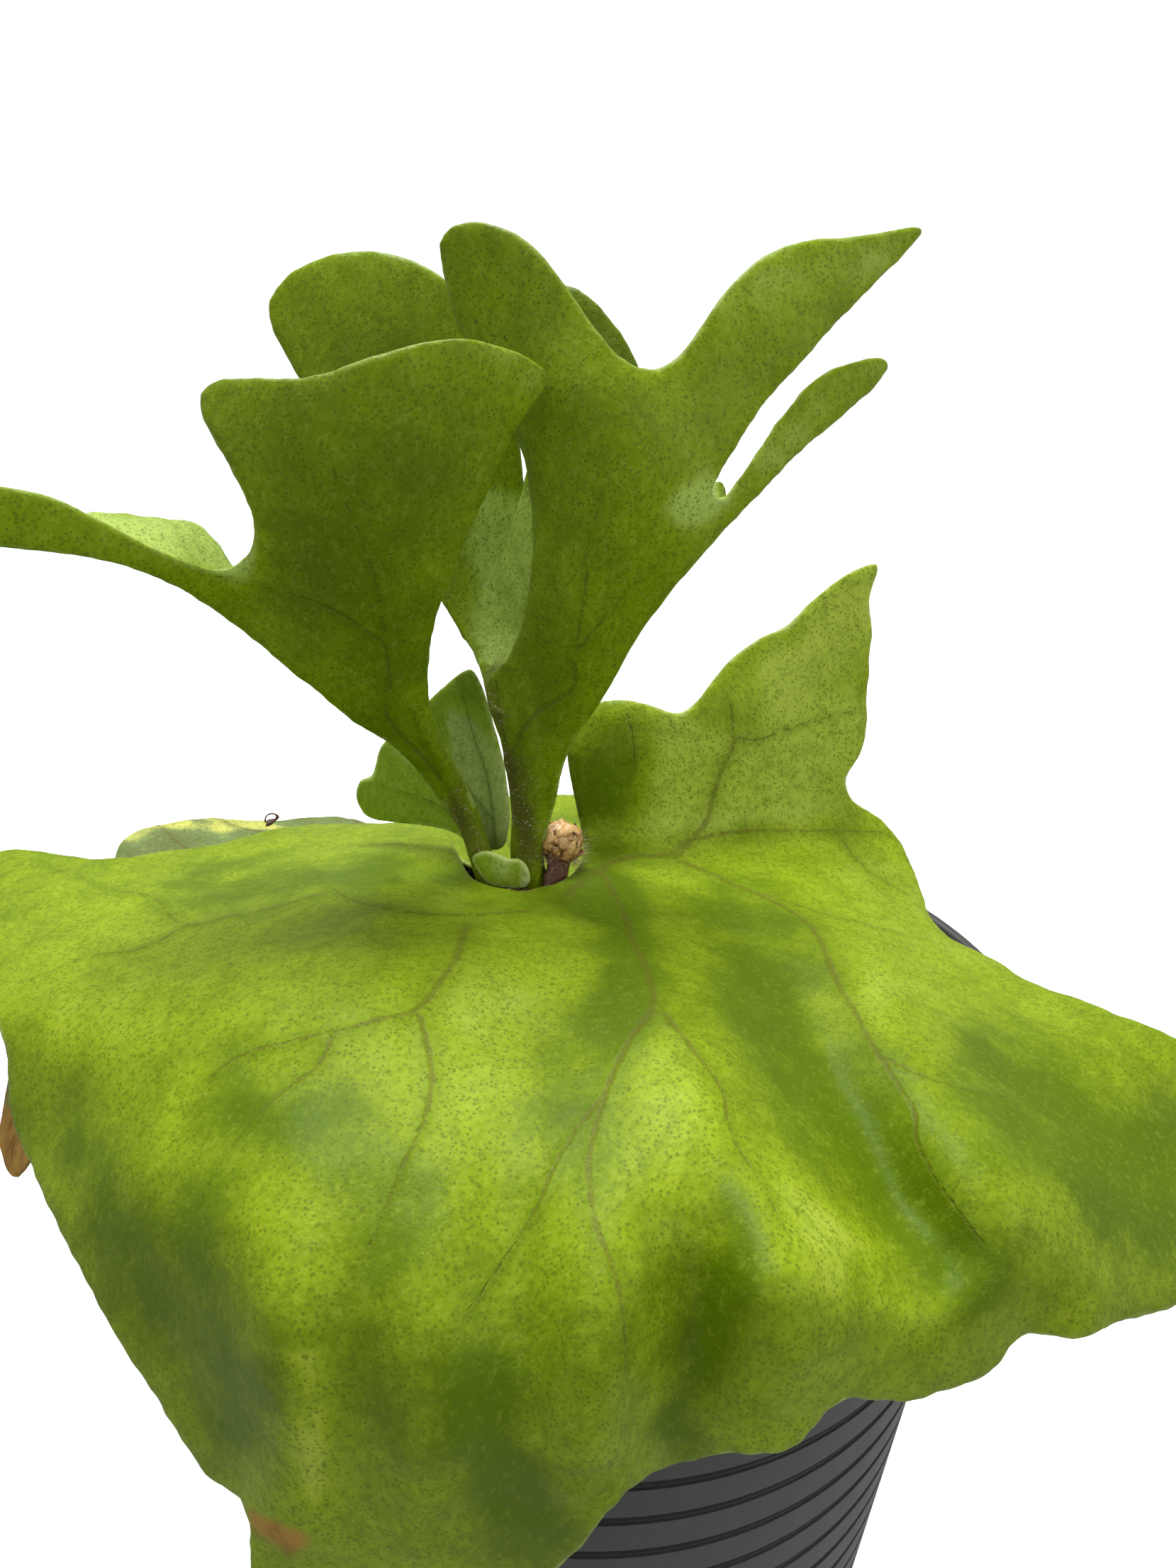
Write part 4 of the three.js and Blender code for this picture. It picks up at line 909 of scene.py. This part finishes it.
young_finish = leaf_finish("young_shield_leaf", YOUNG_PALE, YOUNG_LIT, YOUNG_DEEP, YOUNG_VEIN, YOUNG_VEIN,
                           MARGIN_PALE, 0.4, 0.42)
dress_frond("shield_frond_tall", "tall_shield", young_finish, levels=3,
            vein_points=lambda tree: casts(TALL_VEINS, tree),
            marks={"shade_and_tone": soft_marks(TALL_BLOTCHES)})
SMALL_BLOTCHES = [([(742, 1210), (746, 1250)], 12, -1.2), ([(700, 1215)], 16, -0.5)]
dress_frond("shield_frond_small", "small_shield", young_finish, levels=3,
            marks={"shade_and_tone": soft_marks(SMALL_BLOTCHES)}, ripple=0.08 * MM)

# The antler fronds stand up from the rhizome on scurfy stalks that widen into forked leathery
# blades, cupped like troughs. They are deep green, freckled all over, with a thin pale edge.
ANTLER_PALE = (0.38, 0.52, 0.09, 1)
ANTLER_LIT = (0.22, 0.32, 0.002, 1)
ANTLER_DEEP = (0.1, 0.155, 0.001, 1)
ANTLER_VEIN = (0.08, 0.09, 0.012, 1)
ANTLER_FRECKLE = (0.05, 0.085, 0.005, 1)
ANTLER_RIM = (0.4, 0.52, 0.14, 1)
# On both antlers the first marks are painted shade and light, towards the deep and pale greens: positive
# ones darken shadowed lobes and gaps, negative ones lighten upper faces lit from above, as in the window
# between the right antler's branches.
LEFT_MARKS = {
    "shade_and_tone": [
        ([(130, 735), (330, 780)], 34, -1.3, -8),
        ([(700, 500), (760, 540)], 60, -0.3),
        ([(400, 560), (600, 560)], 90, 0.1),
        ([(560, 700), (560, 900)], 110, 0.35),
        ([(440, 780), (520, 960)], 70, 0.2),
        ([(60, 740)], 90, -0.1),
    ],
    "scurf": [([(668, 1195), (652, 1150)], 34, 0.8), ([(640, 1110), (590, 1000)], 26, 0.35)],
    "rim": [([(596, 1030), (578, 980)], 26, 4)],
}
RIGHT_MARKS = {
    "shade_and_tone": [
        ([(716, 735), (716, 932)], 46, -1.6, 11),
        ([(990, 705)], 34, -1.2),
        ([(820, 560), (850, 760)], 110, -0.25),
        ([(1020, 440), (1250, 340)], 50, -0.35),
        ([(1080, 640), (1240, 520)], 36, -0.3),
        ([(820, 600), (840, 800)], 90, 0.3),
        ([(830, 430), (890, 500)], 40, 0.7, 8),
        ([(450, 400), (600, 420)], 80, -0.15, 15),
        ([(560, 500), (640, 600)], 60, 0.4, 15),
        ([(780, 930), (760, 1060)], 60, 0.3),
    ],
    "scurf": [
        ([(745, 1205), (740, 1160)], 36, 0.9),
        ([(738, 1130), (735, 1090)], 30, 0.45),
        ([(720, 1100), (700, 1000), (690, 940)], 14, 0.7),
        ([(760, 1090), (760, 1010)], 26, 0.25),
    ],
    "rim": [([(750, 1040), (745, 980)], 28, 4)],
}
LEFT_VEINS = [
    ([(620, 1100), (590, 1060), (544, 1007), (548, 960), (544, 906), (531, 826), (500, 740),
      (470, 660)], 1.0),
    ([(544, 906), (470, 860), (380, 830), (300, 812)], 0.7),
]
RIGHT_VEINS = [
    ([(735, 1130), (722, 1074), (752, 1007), (805, 973), (812, 920), (826, 826), (829, 786),
      (850, 690)], 1.1),
    ([(812, 920), (870, 850), (930, 790)], 0.7),
    ([(722, 1074), (705, 1010), (700, 950)], 0.8),
]

antler_finish = leaf_finish("antler_leaf", ANTLER_PALE, ANTLER_LIT, ANTLER_DEEP, ANTLER_VEIN, ANTLER_FRECKLE,
                            ANTLER_RIM, 0.6, 0.44)
dress_frond("antler_frond_left", "left_antler", antler_finish,
            vein_points=lambda tree: casts(LEFT_VEINS, tree), relax=6,
            marks={field: soft_marks(marks) for field, marks in LEFT_MARKS.items()})
dress_frond("antler_frond_right", "right_antler", antler_finish,
            vein_points=lambda tree: casts(RIGHT_VEINS, tree), relax=6,
            marks={field: soft_marks(marks) for field, marks in RIGHT_MARKS.items()})

# The studio is a pale floor that sweeps up behind, an even white sky and three soft lights. The
# floor throws no light back on the plant, so that its greens stay deep.
FLOOR_HALF = 1.6
SWEEP_BACK = 0.9
SWEEP_RISE = 1.2
SWEEP_RADIUS = 0.08
SWEEP_STEPS = 12
SKY_STRENGTH = 0.42
FLOOR_PALE = (0.93, 0.93, 0.93, 1)

floor_shape = bmesh.new()
near_left = floor_shape.verts.new((-FLOOR_HALF, -FLOOR_HALF, 0))
near_right = floor_shape.verts.new((FLOOR_HALF, -FLOOR_HALF, 0))
sweep = [floor_shape.edges.new((near_left, near_right))]
sweep_steps = [Vector((0, FLOOR_HALF + SWEEP_BACK, 0))]
for k in range(SWEEP_STEPS):
    turn = math.radians(90) * (k + 0.5) / SWEEP_STEPS
    sweep_steps.append(Vector((0, math.cos(turn), math.sin(turn))) * SWEEP_RADIUS)
sweep_steps.append(Vector((0, 0, SWEEP_RISE)))
for step in sweep_steps:
    grown = bmesh.ops.extrude_edge_only(floor_shape, edges=sweep)["geom"]
    sweep = [item for item in grown if isinstance(item, bmesh.types.BMEdge)]
    moved = list({vert for edge in sweep for vert in edge.verts})
    bmesh.ops.translate(floor_shape, verts=moved, vec=step)
bmesh.ops.recalc_face_normals(floor_shape, faces=floor_shape.faces)
floor_finish, floor_coords, connect_floor = new_finish("studio_floor", Roughness=0.9, Emission_Strength=0.7)
connect_floor("Base Color", floor_coords.noise(0.4, 2).tint(FLOOR_PALE, (0.95, 0.95, 0.95, 1)))
floor_mesh = bpy.data.meshes.new("floor")
floor_shape.to_mesh(floor_mesh)
floor_shape.free()
floor_mesh.shade_smooth()
floor_mesh.materials.append(floor_finish)
floor = bpy.data.objects.new("floor", floor_mesh)
bpy.context.scene.collection.objects.link(floor)
floor.visible_diffuse = False
floor.visible_glossy = False

world = bpy.data.worlds.new("studio_sky")
world.use_nodes = True
world.node_tree.nodes["Background"].inputs["Color"].default_value = (1, 1, 1, 1)
world.node_tree.nodes["Background"].inputs["Strength"].default_value = SKY_STRENGTH
bpy.context.scene.world = world
bpy.context.scene.view_settings.view_transform = "Standard"


def add_light(name, place, target, size, power):
    """A square soft light that points at a target."""
    lamp = bpy.data.lights.new(name, "AREA")
    lamp.size = size
    lamp.energy = power
    light = bpy.data.objects.new(name, lamp)
    light.location = place
    light.rotation_euler = (Vector(target) - Vector(place)).to_track_quat("-Z", "Y").to_euler()
    bpy.context.scene.collection.objects.link(light)


add_light("overhead", (-0.12, 0.2, 0.7), (0, 0, 0.1), 0.3, 5.2)
add_light("front_left", (-0.4, -0.6, 0.7), (0, 0, 0.12), 0.5, 1.5)
add_light("right_side", (0.6, -0.3, 0.45), (0, 0, 0.12), 0.4, 1.5)

LONG_SIDE = 36
camera_data = bpy.data.cameras.new("camera")
camera_data.sensor_width = LONG_SIDE
camera_data.lens = LONG_SIDE * VIEW_FOCAL / VIEW_HEIGHT
camera_data.clip_start = 0.01
camera_data.clip_end = 20
camera = bpy.data.objects.new("camera", camera_data)
camera.matrix_world = Matrix.Translation(VIEW_EYE) @ view_turn.to_4x4()
bpy.context.scene.collection.objects.link(camera)
bpy.context.scene.camera = camera
